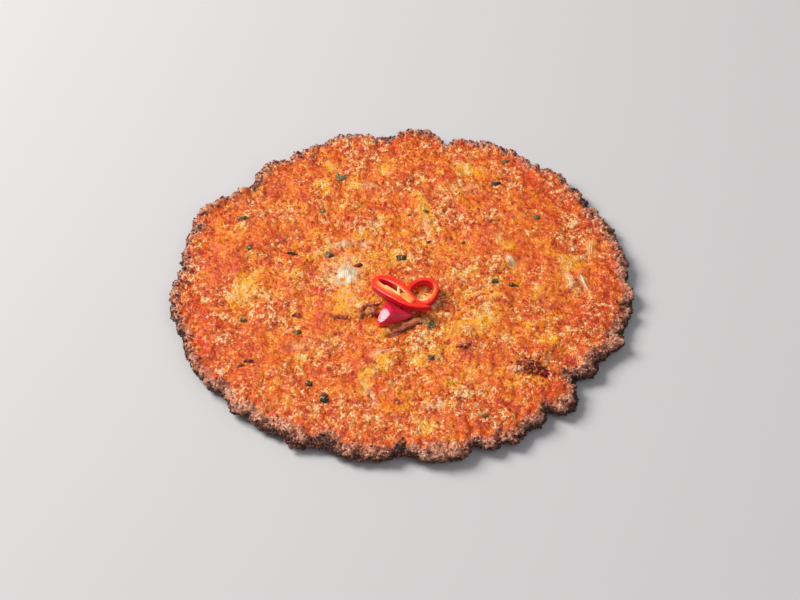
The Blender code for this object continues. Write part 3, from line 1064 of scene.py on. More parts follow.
@dataclass
class Crust:
    """The pancake itself: top, rim and underside in one closed mesh."""

    form: PancakeForm
    cells: int = 262  # across the top, each about 0.7 mm
    side_rows: int = 12
    under_rows: int = 6
    # Relief finer than the solid's: width of a lump, its rise in the middle and at the rim
    crumbs: Table = ((4.6, 0.9, 1.2), (2.2, 0.6, 0.7))
    rough_band: float = 8.0
    # How strong they are in the middle, and how that comes and goes: rise, length, layer
    patchy: float = 0.75
    patch_waves: Table = ((0.5, 16.0, 9.3),)
    flat_height: float = 0.4  # below this the underside is smooth
    crack: Span = (-0.35, -0.05)  # how low on a crumb the painted shade of the cracks begins and is full
    # Strengths of painted shade in the cracks between crumbs and down the rim's side, laid into
    # the burnt number
    crack_shade: float = 0.7
    side_shade: float = 0.9
    # Redder batter towards the rim: strength, and how far in it reaches
    rim_redness: Table = ((0.4, 14.0), (0.4, 42.0))
    # x, y, length, width, direction, strength of the marks seen in the top
    red_marks: Table = (
        (-55, -16, 14, 8, 40, 0.8), (-39, -6, 5, 4, 0, 0.8), (31, -43, 10, 8, 0, 1.0),
        (-90, 44, 14, 20, 60, 0.9), (-51, 29, 9, 7, 0, 0.7), (-62, 57, 12, 8, 30, 0.6),
        (-21, -9, 9, 7, 0, 0.6), (84, -23, 16, 24, 20, 0.6), (68, -62, 22, 14, 40, 0.6),
        (90, -2, 9, 20, 0, 0.5), (40, 30, 22, 16, 0, 0.4), (62, 8, 10, 16, 0, 0.4),
        (-60, 60, 26, 7, 40, 0.7), (70, 60, 24, 9, -48, 0.5), (-14, -51, 6, 5, 0, 0.6),
        (10, -44, 12, 7, 0, 0.4), (-30, -56, 18, 8, 0, 0.4), (60, -20, 20, 9, 20, 0.3),
        (44, -14, 7, 5, 0, 0.6), (-82, 20, 12, 26, 0, 0.8), (-88, -20, 12, 36, 0, 0.9),
    )
    yellow_marks: Table = (
        (-73, -12, 14, 10, 0, 0.8), (-25, -14, 16, 12, 50, 0.9), (-70, -3, 9, 11, 0, 1.1),
        (30, -31, 24, 8, 20, 1.0), (20, -42, 14, 6, 0, 0.6), (-20, 10, 26, 20, 0, 0.4),
        (-38, 61, 8, 10, 20, 1.0), (-8, 75, 8, 10, 0, 0.9), (31, 75, 12, 9, 0, 0.9),
        (11, 44, 7, 16, 20, 1.0), (-17, 30, 10, 7, 0, 0.8), (-3, 17, 8, 7, 0, 0.8),
        (-25, -5, 9, 12, 0, 0.8), (40, -8, 8, 6, 0, 0.5), (38, -23, 12, 8, 30, 0.8),
        (79, 10, 8, 10, 0, 1.2), (50, 21, 8, 6, 0, 0.8), (-8, -50, 8, 7, 0, 1.1),
        (-9, -38, 7, 9, 0, 0.8), (8, -47, 9, 10, 0, 0.8), (-44, -47, 9, 8, 0, 0.7),
        (12, -86, 10, 7, 0, 0.6), (65, -38, 9, 7, 0, 0.8), (-90, -2, 6, 14, 0, 0.4),
        (-16, -60, 6, 10, 0, 1.1), (-86, 34, 8, 14, 0, 0.8), (-80, 22, 10, 10, 0, 0.6),
        (-68, 60, 12, 8, 30, 0.7), (-53, 64, 8, 12, 0, 0.7), (-35, 78, 8, 10, 0, 0.6),
    )
    pale_marks: Table = (
        (-26, 5, 15, 17, -35, 0.6), (-27, 23, 12, 5, 20, 0.6), (-17, 23, 5, 6, 0, 0.4),
        (50, 11, 8, 4, -50, 0.35), (77, -1, 3, 12, 20, 0.5), (83, -2, 3, 10, 20, 0.45),
        (88, 21, 4, 12, -10, 0.35), (12, 35, 3.5, 16, 12, 0.45), (-12, -76, 5, 4, 0, 0.2),
        (-45, -41, 8, 6, 0, 0.3), (33, 62, 6, 4, 0, 0.3), (-15, 62, 8, 5, 0, 0.3),
        (13, -76, 8, 4, 0, 0.3), (50, -55, 6, 5, 0, 0.45), (40, -6, 6, 5, 0, 0.3),
        (-25, 36, 4, 3, 0, 0.4), (21, 52, 4, 4, 0, 0.4), (-10, -45.5, 9, 2.5, 15, 0.5),
        (-14, -68, 12, 3, -65, 0.5), (38, -17, 6, 3, 50, 0.4),
    )
    burnt_marks: Table = (
        (57, -54, 9, 6, -20, 0.95), (-17, -21, 8, 4.0, 78, 0.5), (-12, -18.5, 8, 4.0, 22, 0.45),
        (3, -28.6, 19, 5.0, 30, 0.5), (-3, -34.6, 11, 1.8, 26, 0.45), (7, -24, 6, 3, 0, 0.5),
        (-28, -24, 8, 2.4, 0, 0.6), (43, 38, 3, 2, 0, 0.7), (-67, -50, 2.5, 2, 0, 0.7),
        (-71, -52, 2, 2, 0, 0.6), (28, -43, 7, 5, 0, 0.6), (67, -58, 3, 2, 0, 0.5),
        (-2, -74, 2, 2, 0, 0.5), (-47, -23, 3, 2, 0, 0.5),
    )
    # Oilier batter, with fewer painted glints and painted highlight strokes on it
    plain_marks: Table = (
        (-57, 64, 34, 18, 40, 1.0), (0, 84, 28, 14, 0, 0.9), (-84, 22, 16, 34, 10, 1.0),
        (-48, 48, 24, 16, 0, 0.7), (-46, 28, 20, 20, 0, 0.8), (50, 22, 18, 16, 0, 0.4),
        (-62, -36, 16, 16, 0, 0.4), (0, -42, 18, 10, 0, 0.3), (58, -45, 16, 12, 0, 0.3),
    )

    def disc_places(self) -> tuple[Array, Array]:
        """Lay the top's square grid over a disc.

        Returns:
            The share of the radius and the direction of each point, row by row.
        """
        steps = np.linspace(-1, 1, self.cells + 1)
        u, v = (axis.ravel() for axis in np.meshgrid(steps, steps, indexing="ij"))
        wide = np.abs(u) > np.abs(v)
        share, other = np.where(wide, u, v), np.where(wide, v, u)
        lean = math.pi / 4 * other / np.where(share == 0, 1, share)
        angle = np.where(wide, lean, math.pi / 2 - lean) + np.where(share < 0, math.pi, 0)
        return np.abs(share), angle

    def top_points(self) -> Array:
        """Make the top.

        Returns:
            Its points, row by row of its grid.
        """
        form = self.form
        share, angle = self.disc_places()
        reach = form.radius - form.shoulder_inset
        reach = reach + (form.rim_radius(angle) - form.radius) * share**form.notch_reach
        x, y = polar(share * reach, angle)
        return np.stack([x, y, form.top_height(x, y)], 1)

    def border(self) -> Array:
        """Follow the edge of the top's grid.

        Returns:
            The places of its points in the grid, all the way round.
        """
        side, last, wide = np.arange(self.cells), self.cells, self.cells + 1
        return np.concatenate([
            side * wide, last * wide + side, (last - side) * wide + last, last - side,
        ])

    def side_profile(self) -> list[tuple[float, float]]:
        """Divide the rim's side into rows.

        Returns:
            The inset and level of each row, from the shoulder down.
        """
        insets, levels = zip(*self.form.side)
        steps = np.linspace(0, len(insets) - 1, self.side_rows + 1)[1:]
        known = range(len(insets))
        return list(zip(np.interp(steps, known, insets), np.interp(steps, known, levels)))

    def under_points(self, angle: Array, start: Array) -> list[Array]:
        """Make the underside of the rim.

        Args:
            angle: the direction of each point of a row, in radians.
            start: the last row of the rim's side.

        Returns:
            The rows of points from the side in to the flat base.
        """
        form = self.form
        first = np.hypot(start[:, 0], start[:, 1])
        rows = []
        known = [0.0, *(inset for inset, _ in form.under)]
        levels = [1.0, *(level for _, level in form.under)]
        for inset in np.linspace(0, known[-1], self.under_rows + 1)[1:]:
            blend = min(1.0, inset / known[1])
            radius = first + (form.radius - max(inset, known[1]) - first) * blend
            height = form.curl(angle) * np.interp(inset, known, levels)
            rows.append(np.stack([*polar(radius, angle), height], 1))
        return rows

    def roughened(self, mesh: bpy.types.Mesh, points: Array) -> tuple[Array, Array]:
        """Push the crust out and in along its normals by its fine crumbs.

        Args:
            mesh: the smooth mesh, for its normals.
            points: its points.

        Returns:
            The new points, and how high each stands on its crumb, from 0 to 1.
        """
        normals = np.empty((len(points), 3), np.float32)
        mesh.vertex_normals.foreach_get("vector", normals.ravel())
        x, y, z = points.T
        rim = bell(np.maximum(self.form.edge(x, y), 0), self.rough_band)
        patchy = self.patchy + waves(x, y, self.patch_waves)
        standing, push = np.zeros(len(points)), np.zeros(len(points))
        for length, middle, at_rim in self.crumbs:
            lump = self.form.lumps(points, length)
            standing += lump / len(self.crumbs)
            push += (middle * patchy * (1 - rim) + at_rim * rim) * (lump - 0.5)
        push[z < self.flat_height] = 0
        return points + normals * push[:, None], standing

    def build(self) -> bpy.types.Object:
        """Build the crust and its numbers for the batter.

        Returns:
            The object.
        """
        wide, border = self.cells + 1, self.border()
        top = self.top_points()
        angle = np.arctan2(top[border, 1], top[border, 0])
        rows = [top[border]]
        rows += [self.form.side_points(angle, *step) for step in self.side_profile()]
        rows += self.under_points(angle, rows[-1])
        points = np.concatenate([top, *rows[1:], [[0.0, 0.0, 0.0]]])

        corner = (np.arange(self.cells)[:, None] * wide + np.arange(self.cells)).ravel()
        faces = [np.stack([corner, corner + wide, corner + wide + 1, corner + 1], 1)]
        before = border
        for row in range(1, len(rows)):
            after = len(top) + (row - 1) * len(border) + np.arange(len(border))
            faces.append(np.stack([before, after, np.roll(after, -1), np.roll(before, -1)], 1))
            before = after
        centre = np.full(len(before), len(points) - 1)
        faces.append(np.stack([before, centre, np.roll(before, -1)], 1))
        mesh = bpy.data.meshes.new("crust_form")
        mesh.from_pydata(points.tolist(), [], [face for rows in faces for face in rows.tolist()])
        points, standing = self.roughened(mesh, points)
        bpy.data.meshes.remove(mesh)

        shape = Shape()
        shape.add(points, faces[0], **self.numbers(points, standing))
        shape.faces += faces[1:]
        return shape.build("pancake_crust", "pancake")

    def numbers(self, points: Array, standing: Array) -> dict[str, Array]:
        """Work out the numbers that the batter's colours follow.

        Args:
            points: the crust's points.
            standing: how high each stands on its crumb.

        Returns:
            One list of numbers, from 0 to 1, for each name.
        """
        x, y, z = points.T
        browned = self.form.browned(x, y)
        under = ease(-z, -self.form.curl_height, 0.0)
        browned = np.clip(np.maximum(browned, under), 0, 1)
        crack = ease(-standing, *self.crack)
        # Painted shade: the cracks between crumbs and the rim's side under its crest darken,
        # carried in the burnt number with the real burnt marks
        dark = np.maximum(self.crack_shade * crack, self.side_shade * self.form.shade(points))
        edge = np.maximum(self.form.edge(x, y), 0)
        redder = sum(strength * bell(edge, band) for strength, band in self.rim_redness)
        marks = {
            "burnt": patches(x, y, self.burnt_marks) + browned * dark,
            "red": patches(x, y, self.red_marks) + redder,
            "yellow": patches(x, y, self.yellow_marks),
            "pale": patches(x, y, self.pale_marks),
            "plain": patches(x, y, self.plain_marks),
        }
        clipped = {name: np.clip(strength, 0, 1) for name, strength in marks.items()}
        return {"crumb": standing, "browned": browned, **clipped}


@dataclass
class Crumbs:
    """Hard-fried crumbs: thick along the rim, and in a few dark clumps on the top."""

    form: PancakeForm
    ground: Ground
    fine_count: int = 6200
    coarse_count: int = 500
    fine: Grains = Grains((0.3, 0.6), splits=1, flatness=0.9, lumpiness=0.24, sunk=0.6)
    coarse: Grains = Grains((0.55, 0.9), splits=2, flatness=0.8, lumpiness=0.2, sunk=0.6)
    side_shade: float = 0.7  # how much painted shade darkens the crumbs down the rim's side
    # Heights between which they start to lie, and to lie thickly
    lowest: Span = (0.3, 0.5)
    thickly: Span = (0.0, 1.2)
    tones: Span = (1.4, 1.25)  # the two shapes of the beta spread of their tones
    # The share of dark crumbs by direction: degrees, more of them, half-width
    darker: Table = ((350, 0.20, 50), (75, 0.28, 40), (150, 0.36, 40), (200, 0.26, 24))
    # Dark clumps on the top: x, y, length, width, direction, count, tone
    clumps: Table = (
        (57, -54, 9, 6, -20, 110, 0.15), (50, -56, 5, 4, 0, 30, 0.75),
        (27, -42, 5, 4, 0, 26, 0.45), (43, 38, 3, 2, 0, 10, 0.2), (-67, -50, 3, 2, 0, 9, 0.1),
        (-71, -52, 2, 2, 0, 6, 0.2), (67, -58, 3, 2, 0, 9, 0.2), (-2, -74, 3, 2, 0, 8, 0.3),
        (-47, -23, 3, 1.6, 10, 7, 0.2),
    )
    clump_spread: float = 0.32  # as a share of its length and width
    clump_tones: float = 0.16
    clump_grains: Grains = Grains((0.35, 0.8), splits=2, flatness=0.8, lumpiness=0.16)
    # Browned strips on the top: x, y, length, width, direction, tone
    strips: Table = (
        (-17.3, -19.4, 3.6, 2.2, 60, -0.05), (-17.6, -22.8, 3.4, 2.0, 80, -0.05),
        (-13, -17.4, 9, 1.2, 22, -0.05), (-13.6, -21, 5, 3.0, 30, 0.26),
        (-11.6, -22.4, 4, 1.8, 20, -0.1), (-30, -23.8, 4.4, 2.0, -10, 0.0),
        (-26, -24.4, 4.0, 1.8, 8, -0.05), (1.5, -29.8, 16, 2.4, 34, 0.18),
        (5, -27.2, 11, 2.0, 22, 0.3), (4, -26.0, 11, 1.2, 14, -0.05),
        (3, -30.6, 13, 1.2, 24, -0.05), (-2.5, -34.8, 9, 1.0, 24, 0.05),
    )
    strip: Crumpled = Crumpled(0.8, fold=0.7, depth=1.0, ragged=0.5, bend=1.2, sunk=0.55)

    def rim(self, draw: np.random.Generator) -> bpy.types.Object:
        """Build the crumbs along the rim.

        Args:
            draw: the source of chance.

        Returns:
            The object.
        """
        ground, shape = self.ground, Shape()
        x, y, z = ground.points.T
        chance = self.form.browned(x, y) * ease(z, *self.thickly) * ease(z, *self.lowest)
        chance /= chance.sum()
        dark = bells_round(np.arctan2(y, x), self.darker)
        for grains, count in ((self.fine, self.fine_count), (self.coarse, self.coarse_count)):
            chosen = draw.choice(len(x), count, replace=False, p=chance)
            tone = draw.beta(*self.tones, count) - dark[chosen]
            # painted shade: crumbs darker down the rim's side
            tone -= self.side_shade * self.form.shade(ground.points[chosen])
            grains.strew(
                shape, draw, ground.points[chosen], ground.normals[chosen], tone=tone
            )
        return shape.build("rim_crumbs", "pancake")

    def top(self, draw: np.random.Generator) -> bpy.types.Object:
        """Build the browned clumps and strips on the top.

        Args:
            draw: the source of chance.

        Returns:
            The object.
        """
        shape = Shape()
        for x, y, length, width, direction, count, tone in self.clumps:
            along, across = draw.normal(0, self.clump_spread, (2, count)) * [[length], [width]]
            places, normals = self.ground.seats(*laid(x, y, along, across, direction))
            tones = tone + draw.normal(0, self.clump_tones, count)
            self.clump_grains.strew(
                shape, draw, places, normals, tone=tones, edge=np.zeros(count)
            )
        for *place, tone in self.strips:
            self.strip.lay(shape, draw, self.ground, place, tone=tone)
        return shape.build("browned_bits", "pancake")


@dataclass
class ScallionBits:
    """Chopped scallion fried into the top: crumpled scraps of leaf, part sunk in the batter."""

    ground: Ground
    # x, y, length, width, direction, as fused to the solid
    places: Table = (
        (-29, 68, 7.5, 3.6, 65), (-37, 45, 3.4, 3.2, 20), (-75, 39, 5.5, 3.8, 5),
        (-70, 20, 5, 3.6, 80), (-50, 17, 7, 3, 8), (-33, 16, 6, 2.6, -45), (46, 64, 7, 3, 12),
        (64, 41, 4.4, 3, -30), (43, -2, 5.4, 4, 60), (51, -4, 5.4, 3.2, -10),
        (0, 14, 6, 4, -20), (-71, -25, 4, 2.2, 0), (-46, -33, 5, 2.6, 10),
        (-40, -63, 3.2, 3, 0), (-34, -72, 6, 5.4, -20), (14, -48, 6, 3, -15),
        (13.5, -28.5, 5.4, 4.6, 30), (12, 45, 3, 1.4, 30), (13, 25, 2.6, 1.4, 0),
        (36, -82, 4, 2.2, 10), (29, 24, 2.4, 1.5, 60), (51, 80, 4.4, 3, -30),
        (4, 42, 3, 1.2, 0),
    )
    seen: Span = (0.75, 1.0)  # the share of each bit that stands out of the batter
    leaf: Crumpled = Crumpled(
        0.8, scraps=5, fold=0.9, depth=0.9, ragged=0.4, lumpiness=0.14, sunk=0.5, splits=3
    )

    def build(self, draw: np.random.Generator) -> bpy.types.Object:
        """Build the scraps where they lie.

        Args:
            draw: the source of chance.

        Returns:
            The object.
        """
        shape = Shape()
        for x, y, length, width, direction in self.places:
            seen = draw.uniform(*self.seen)
            place = (x, y, seen * length, seen * width, direction)
            self.leaf.lay(shape, draw, self.ground, place, tone=draw.uniform(0, 1))
        return shape.build("scallion_bits", "pancake")


@dataclass
class KimchiPieces:
    """Cabbage leaves from the kimchi that show through the top."""

    ground: Ground
    # x, y, length, width, direction, rise, how much the batter stains it
    places: Table = (
        (-25, 3.5, 20, 15, 265, 0.2, -0.12), (-27, 23, 11, 5, 8, 0.25, 0.25),
        (-17, 24, 5, 4, 70, 0.2, 0.2), (50, 11, 9, 6, -60, 0.3, 0.2),
        (77, -1, 13, 2.4, 108, 0.3, 0.1), (83.5, -2, 13, 2.2, 112, 0.3, 0.1),
        (88, 21, 15, 6, 88, 0.25, 0.7), (12, 35, 15, 3, 98, 0.15, 0.8),
        (-22, -13, 12, 6, 55, 0.2, 0.75), (30, -31, 15, 7, 12, 0.2, 0.8),
    )
    rings: int = 14
    spokes: int = 64
    wobble: float = 0.24  # how uneven its outline is, and over what length
    wobble_length: float = 0.6
    taper: float = 0.3
    dip: float = 0.7  # how far its edge goes under the batter
    dip_power: int = 6  # above 1, it dips only near the edge
    ripple: float = 0.14
    rib: float = 1.1  # from one rib to the next
    rib_bend: float = 6.0  # length of the ribs' own waves

    def build(self, draw: np.random.Generator) -> bpy.types.Object:
        """Build the leaves, each closed below by one point under the batter.

        Args:
            draw: the source of chance.

        Returns:
            The object.
        """
        shape = Shape()
        share, angle = np.meshgrid(
            np.linspace(0, 1, self.rings + 1)[1:],
            np.linspace(0, 2 * math.pi, self.spokes, endpoint=False), indexing="ij",
        )
        share, angle = share.ravel(), angle.ravel()
        first, last = np.arange(self.spokes), np.arange(len(share) - self.spokes, len(share))
        fans = [
            np.stack([np.full(self.spokes, len(share)), first, np.roll(first, -1)], 1),
            np.stack([np.full(self.spokes, len(share) + 1), np.roll(last, -1), last], 1),
        ]
        for x, y, length, width, direction, rise, stain in self.places:
            layer = draw.uniform(0, NOISE_LAYERS)
            uneven = wave(np.cos(angle), np.sin(angle), self.wobble_length, layer)
            out = 1 + self.wobble * uneven * share
            along = share * out * np.cos(angle) * length / 2
            across = share * out * np.sin(angle) * width / 2 * (1 + self.taper * np.cos(angle))
            plan_x, plan_y = laid(x, y, along, across, direction)
            seats, _ = self.ground.seats([*plan_x, x, x], [*plan_y, y, y])
            across = across + wave(along, 0 * along, self.rib_bend, layer)
            ribs = self.ripple * np.sin(across * 2 * math.pi / self.rib)
            lift = (rise + ribs) * (1 - share**2) - self.dip * share**self.dip_power
            seats[:, 2] += [*lift, rise, -self.dip]
            numbers = {"across": [*across, 0, 0], "edge": [*share, 0, 1]}
            shape.add(
                seats, grid_faces(self.rings, self.spokes)[:, ::-1], stain=stain, **numbers
            )
            shape.faces += [fan + shape.count - len(seats) for fan in fans]
        return shape.build("kimchi_pieces", "pancake")


@dataclass
class ChilliFlakes:
    """Flakes of dried chilli in the batter, scattered over the top."""

    ground: Ground
    reach: float = 96.0
    # Browned strips of skin: x, y, length, width, direction
    strips: Table = (
        (-20, 8, 5.4, 3.2, -30), (-47, -22, 5, 1.0, 8), (28, -42, 7, 3.4, 20),
        (61, -57, 7, 3.0, -30),
    )
    browned: Span = (-0.7, -0.35)  # the strips' tone
    strip: Crumpled = Crumpled(
        0.9, scraps=3, fold=1.6, depth=0.8, ragged=0.4, bend=0.9, sunk=0.4
    )
    small_count: int = 420
    small: Grains = Grains((0.3, 0.6), splits=1, flatness=0.3, lumpiness=0.2, stretch=0.4)
    large: Grains = Grains((0.6, 1.2), splits=2, flatness=0.3, lumpiness=0.14, stretch=0.4)
    # Larger flakes: x, y
    marks: Table = (
        (-55, -14), (-39, -6), (-36, -7), (30, -42), (-14, -51), (33, 9), (-52, 33), (-25, 40),
        (-66, 47), (44, -14), (-8, 50), (60, -30), (-20, -40), (8, -72), (23, 73), (-78, 8),
        (70, 22), (-48, 62), (34, 36), (-4, 30), (78, -22), (40, -68), (-60, 4), (-82, -30),
    )

    def build(self, draw: np.random.Generator) -> bpy.types.Object:
        """Build the flakes.

        Args:
            draw: the source of chance.

        Returns:
            The object.
        """
        shape = Shape()
        radius = self.reach * np.sqrt(draw.uniform(0, 1, self.small_count))
        angle = draw.uniform(0, 2 * math.pi, self.small_count)
        small = polar(radius, angle)
        for grains, (x, y) in ((self.small, small), (self.large, zip(*self.marks))):
            places, normals = self.ground.seats(x, y)
            tone = draw.uniform(0, 1, len(places))
            grains.strew(shape, draw, places, normals, tone=tone, edge=np.zeros(len(tone)))
        for place in self.strips:
            self.strip.lay(shape, draw, self.ground, place, tone=draw.uniform(*self.browned))
        return shape.build("chilli_flakes", "pancake")


@dataclass(frozen=True)
class ChilliRing:
    """One ring of chilli, cut across or on the bias."""

    name: str
    length: float
    width: float
    hole: Row  # its place along and across the ring, length and width
    height: float
    uneven: float  # how much thicker the cut is towards the thick side
    thick_side: float
    pinch: float  # how much narrower the far end is
    sag: float  # how far the ring bends sideways
    arch: float  # how far both its ends drop
    place: Row
    direction: float
    tilt: float
    # Flesh in its hole: place along and across the ring, length, width, direction, paleness
    ribs: Table = ()
    # Paler stretches: degrees round the ring, strength, half-width
    orange: Table = ()
    pale: Table = ()
    sag_power: float = 2.5  # above 1, the sag lies towards the far end
    squareness: float = 0.45  # power that flattens the wall's round section
    around_steps: int = 200
    wall_steps: int = 44
    wrinkle: Row = (0.05, 2.4, 5.1)  # share of the wall, length, layer
    wrinkle_reach: float = 3.0  # half the ring's length, as the wrinkles count it
    # Where round the wall the cut face, the inner skin and the flesh start and are full
    cut_edge: Span = (0.55, 0.8)
    inner_edge: Span = (0.5, 0.8)
    flesh_edge: Span = (-0.8, 0.85)
    pale_edge: Span = (-0.9, 0.3)
    # The flesh in the hole: its height, waves of its shape and of its paleness, where along
    # the ring it turns red, and how orange it is there
    rib_height: float = 2.4
    rib_waves: Table = ((0.3, 3.0, 2.0),)
    rib_blotches: Table = ((0.5, 2.6, 8.0),)
    rib_end: Span = (-10.0, -6.0)
    rib_least: float = 0.15

    def placed(self, points: Array) -> Array:
        """Take points from the ring's own frame to where it lies."""
        turn = Euler((0, math.radians(self.tilt), math.radians(self.direction))).to_matrix()
        return points @ np.array(turn).T + np.array(self.place)

    def surface(self) -> tuple[Array, dict[str, Array]]:
        """Shape the ring without the flesh in its hole.

        Returns:
            Its points, and what its material reads.
        """
        around, across = (
            np.linspace(0, 2 * math.pi, steps, endpoint=False)
            for steps in (self.around_steps, self.wall_steps)
        )
        around, across = (axis.ravel() for axis in np.meshgrid(around, across, indexing="ij"))
        side, up = (
            np.copysign(np.abs(part) ** self.squareness, part)
            for part in (np.cos(across), np.sin(across))
        )
        long, wide = self.length / 2, self.width / 2
        taper = 1 - self.pinch * np.cos(around)
        outside = np.stack([long * np.cos(around), wide * taper * np.sin(around)], 1)
        hole_x, hole_y, hole_length, hole_width = self.hole
        inside = np.stack([
            hole_x + hole_length / 2 * np.cos(around), hole_y + hole_width / 2 * np.sin(around),
        ], 1)
        wrinkled = self.wrinkle_reach * outside.T / long + [side, up]
        shrink = dents(*wrinkled, self.wrinkle)
        middle = (inside + outside) / 2
        x, y = (middle + (outside - middle) * (side * shrink)[:, None]).T
        reached = np.maximum(0.0, (1 + x / long) / 2)
        y = y - self.sag * np.sin(math.pi * reached**self.sag_power)
        thick = 1 + self.uneven * np.cos(around - math.radians(self.thick_side))
        high = 0.5 * self.height * thick * (1 + up * shrink) - self.arch * (x / long) ** 2
        points = np.stack([x, y, high], 1)
        inward = ease(-side, *self.flesh_edge)
        paler = bells_round(around, self.pale) * ease(up, *self.pale_edge)
        numbers = {
            "cut": ease(np.abs(np.sin(across)), *self.cut_edge),
            "inner": ease(-np.cos(across), *self.inner_edge),
            "flesh": inward * bells_round(around, self.orange),
            "pale": inward**2 * paler,
        }
        return self.placed(points), numbers

    def build(self) -> bpy.types.Object:
        """Build the ring with the flesh in its hole.

        Returns:
            The object.
        """
        shape = Shape()
        points, numbers = self.surface()
        faces = grid_faces(self.around_steps, self.wall_steps)
        closing = np.arange(self.wall_steps)
        last = closing + (self.around_steps - 1) * self.wall_steps
        bridge = np.stack([last, np.roll(last, -1), np.roll(closing, -1), closing], 1)
        shape.add(points, np.concatenate([faces, bridge])[:, ::-1], **numbers)
        points, faces = ball(4)
        for along, across, length, width, direction, paleness in self.ribs:
            squared = np.copysign(np.abs(points) ** self.squareness, points)
            rib = squared * [length / 2, width / 2, self.rib_height / 2]
            rib[:, 1] += waves(rib[:, 0], rib[:, 2], self.rib_waves)
            rib[:, 0], rib[:, 1] = laid(along, across, rib[:, 0], rib[:, 1], direction)
            rib[:, 2] += self.height / 2
            fade = ease(-rib[:, 0], *self.rib_end)
            pale = fade * (paleness + waves(rib[:, 0], rib[:, 1], self.rib_blotches))
            flesh = np.maximum(fade, self.rib_least)
            shape.add(self.placed(rib), faces, cut=1.0, inner=0.0, flesh=flesh, pale=pale)
        return shape.build(self.name + "_flesh", self.name)


LONG_RING = ChilliRing(
    name="chilli_ring_long", length=33.5, width=10.6, hole=(-3.3, 0.3, 20.0, 3.6), height=3.3,
    uneven=0.25, thick_side=200, pinch=0.6, sag=3.2, arch=1.0, place=(0.8, -13.9, 11.05),
    direction=-38.0, tilt=-7.2,
    ribs=(
        (-4.2, -1.9, 11.0, 1.7, -8.0, 0.7), (-2.2, 0.1, 4.8, 1.3, -52.0, 0.9),
        (4.6, -2.7, 9.0, 4.4, -8.0, 0.3),
    ),
    orange=((240, 1.2, 42), (85, 0.4, 30), (58, 0.7, 22)), pale=((240, 0.8, 34),),
)
ROUND_RING = ChilliRing(
    name="chilli_ring_round", length=15.8, width=14.8, hole=(-1.2, 0.0, 9.4, 10.4),
    height=3.3, uneven=0.42, thick_side=113, pinch=0.2, sag=0.0, arch=0.0,
    place=(9.9, -11.7, 8.4), direction=-78.0, tilt=0.0,
    orange=((335, 1.1, 60), (60, 0.7, 40)), pale=((340, 1.0, 50),),
)


@dataclass(frozen=True)
class ChilliWedge:
    """The wedge of chilli at the front: a low dome on a rounded triangle."""

    name: str = "chilli_wedge"
    place: Row = (-3.6, -23.8, 8.85)
    # Direction and distance of each side
    sides: Table = ((162, 5.8), (-65, 4.9), (57, 5.0), (228, 9.4))
    rounding: int = 6  # power that rounds the corners between the sides
    height: float = 4.2
    underside: float = 0.12  # its depth, as a share of the height
    lean: Span = (-0.5, -0.45)  # how much higher it is towards its shown end
    rings: int = 60
    spokes: int = 120
    pole: float = 0.02  # the first ring's angle from the pole, in radians
    dent: Row = (0.05, 0.5, 3.3)  # share of its height, length on a ball of radius 1, layer
    # The flatter side that catches the light: its direction, distance, and how flat it is
    facet: Row = (-0.45, -0.18, 0.87)
    facet_reach: float = 5.3
    facet_flatness: float = 0.85
    # The cut edge below: where it starts and is full, and its share of cut and of flesh
    low_edge: Span = (-0.12, 0.0)
    low_cut: float = 0.5
    low_flesh: float = 0.4

    def build(self) -> bpy.types.Object:
        """Build the wedge.

        Returns:
            The object.
        """
        level, around = np.meshgrid(
            np.linspace(self.pole, math.pi - self.pole, self.rings),
            np.linspace(0, 2 * math.pi, self.spokes, endpoint=False), indexing="ij",
        )
        x, y = (np.sin(level) * turn(around) for turn in (np.cos, np.sin))
        x, y, z = x.ravel(), y.ravel(), np.cos(level).ravel()
        reach = np.zeros(len(x))
        for towards, distance in self.sides:
            facing = np.cos(np.arctan2(y, x) - math.radians(towards))
            reach += np.maximum(0.0, facing / distance) ** self.rounding
        reach = reach ** (-1 / self.rounding)
        lean = (1 + self.lean[0] * x + self.lean[1] * y) * dents(x, y, self.dent)
        rise = np.where(z > 0, lean, self.underside)
        points = np.stack([x * reach, y * reach, self.height * z * rise], 1)
        facet = np.array(self.facet)
        beyond = np.maximum(points @ facet - self.facet_reach, 0.0)
        points -= self.facet_flatness * beyond[:, None] * facet
        faces = grid_faces(self.rings, self.spokes)[:, ::-1]
        cap = np.arange(self.spokes)
        low = ease(-z, *self.low_edge)
        shape = Shape()
        shape.add(
            points + self.place, faces,
            cut=self.low_cut * low, inner=0.0, flesh=self.low_flesh * low, pale=0.0,
        )
        shape.faces += [cap[None], (len(x) - 1 - cap)[None]]
        return shape.build(self.name + "_flesh", self.name)


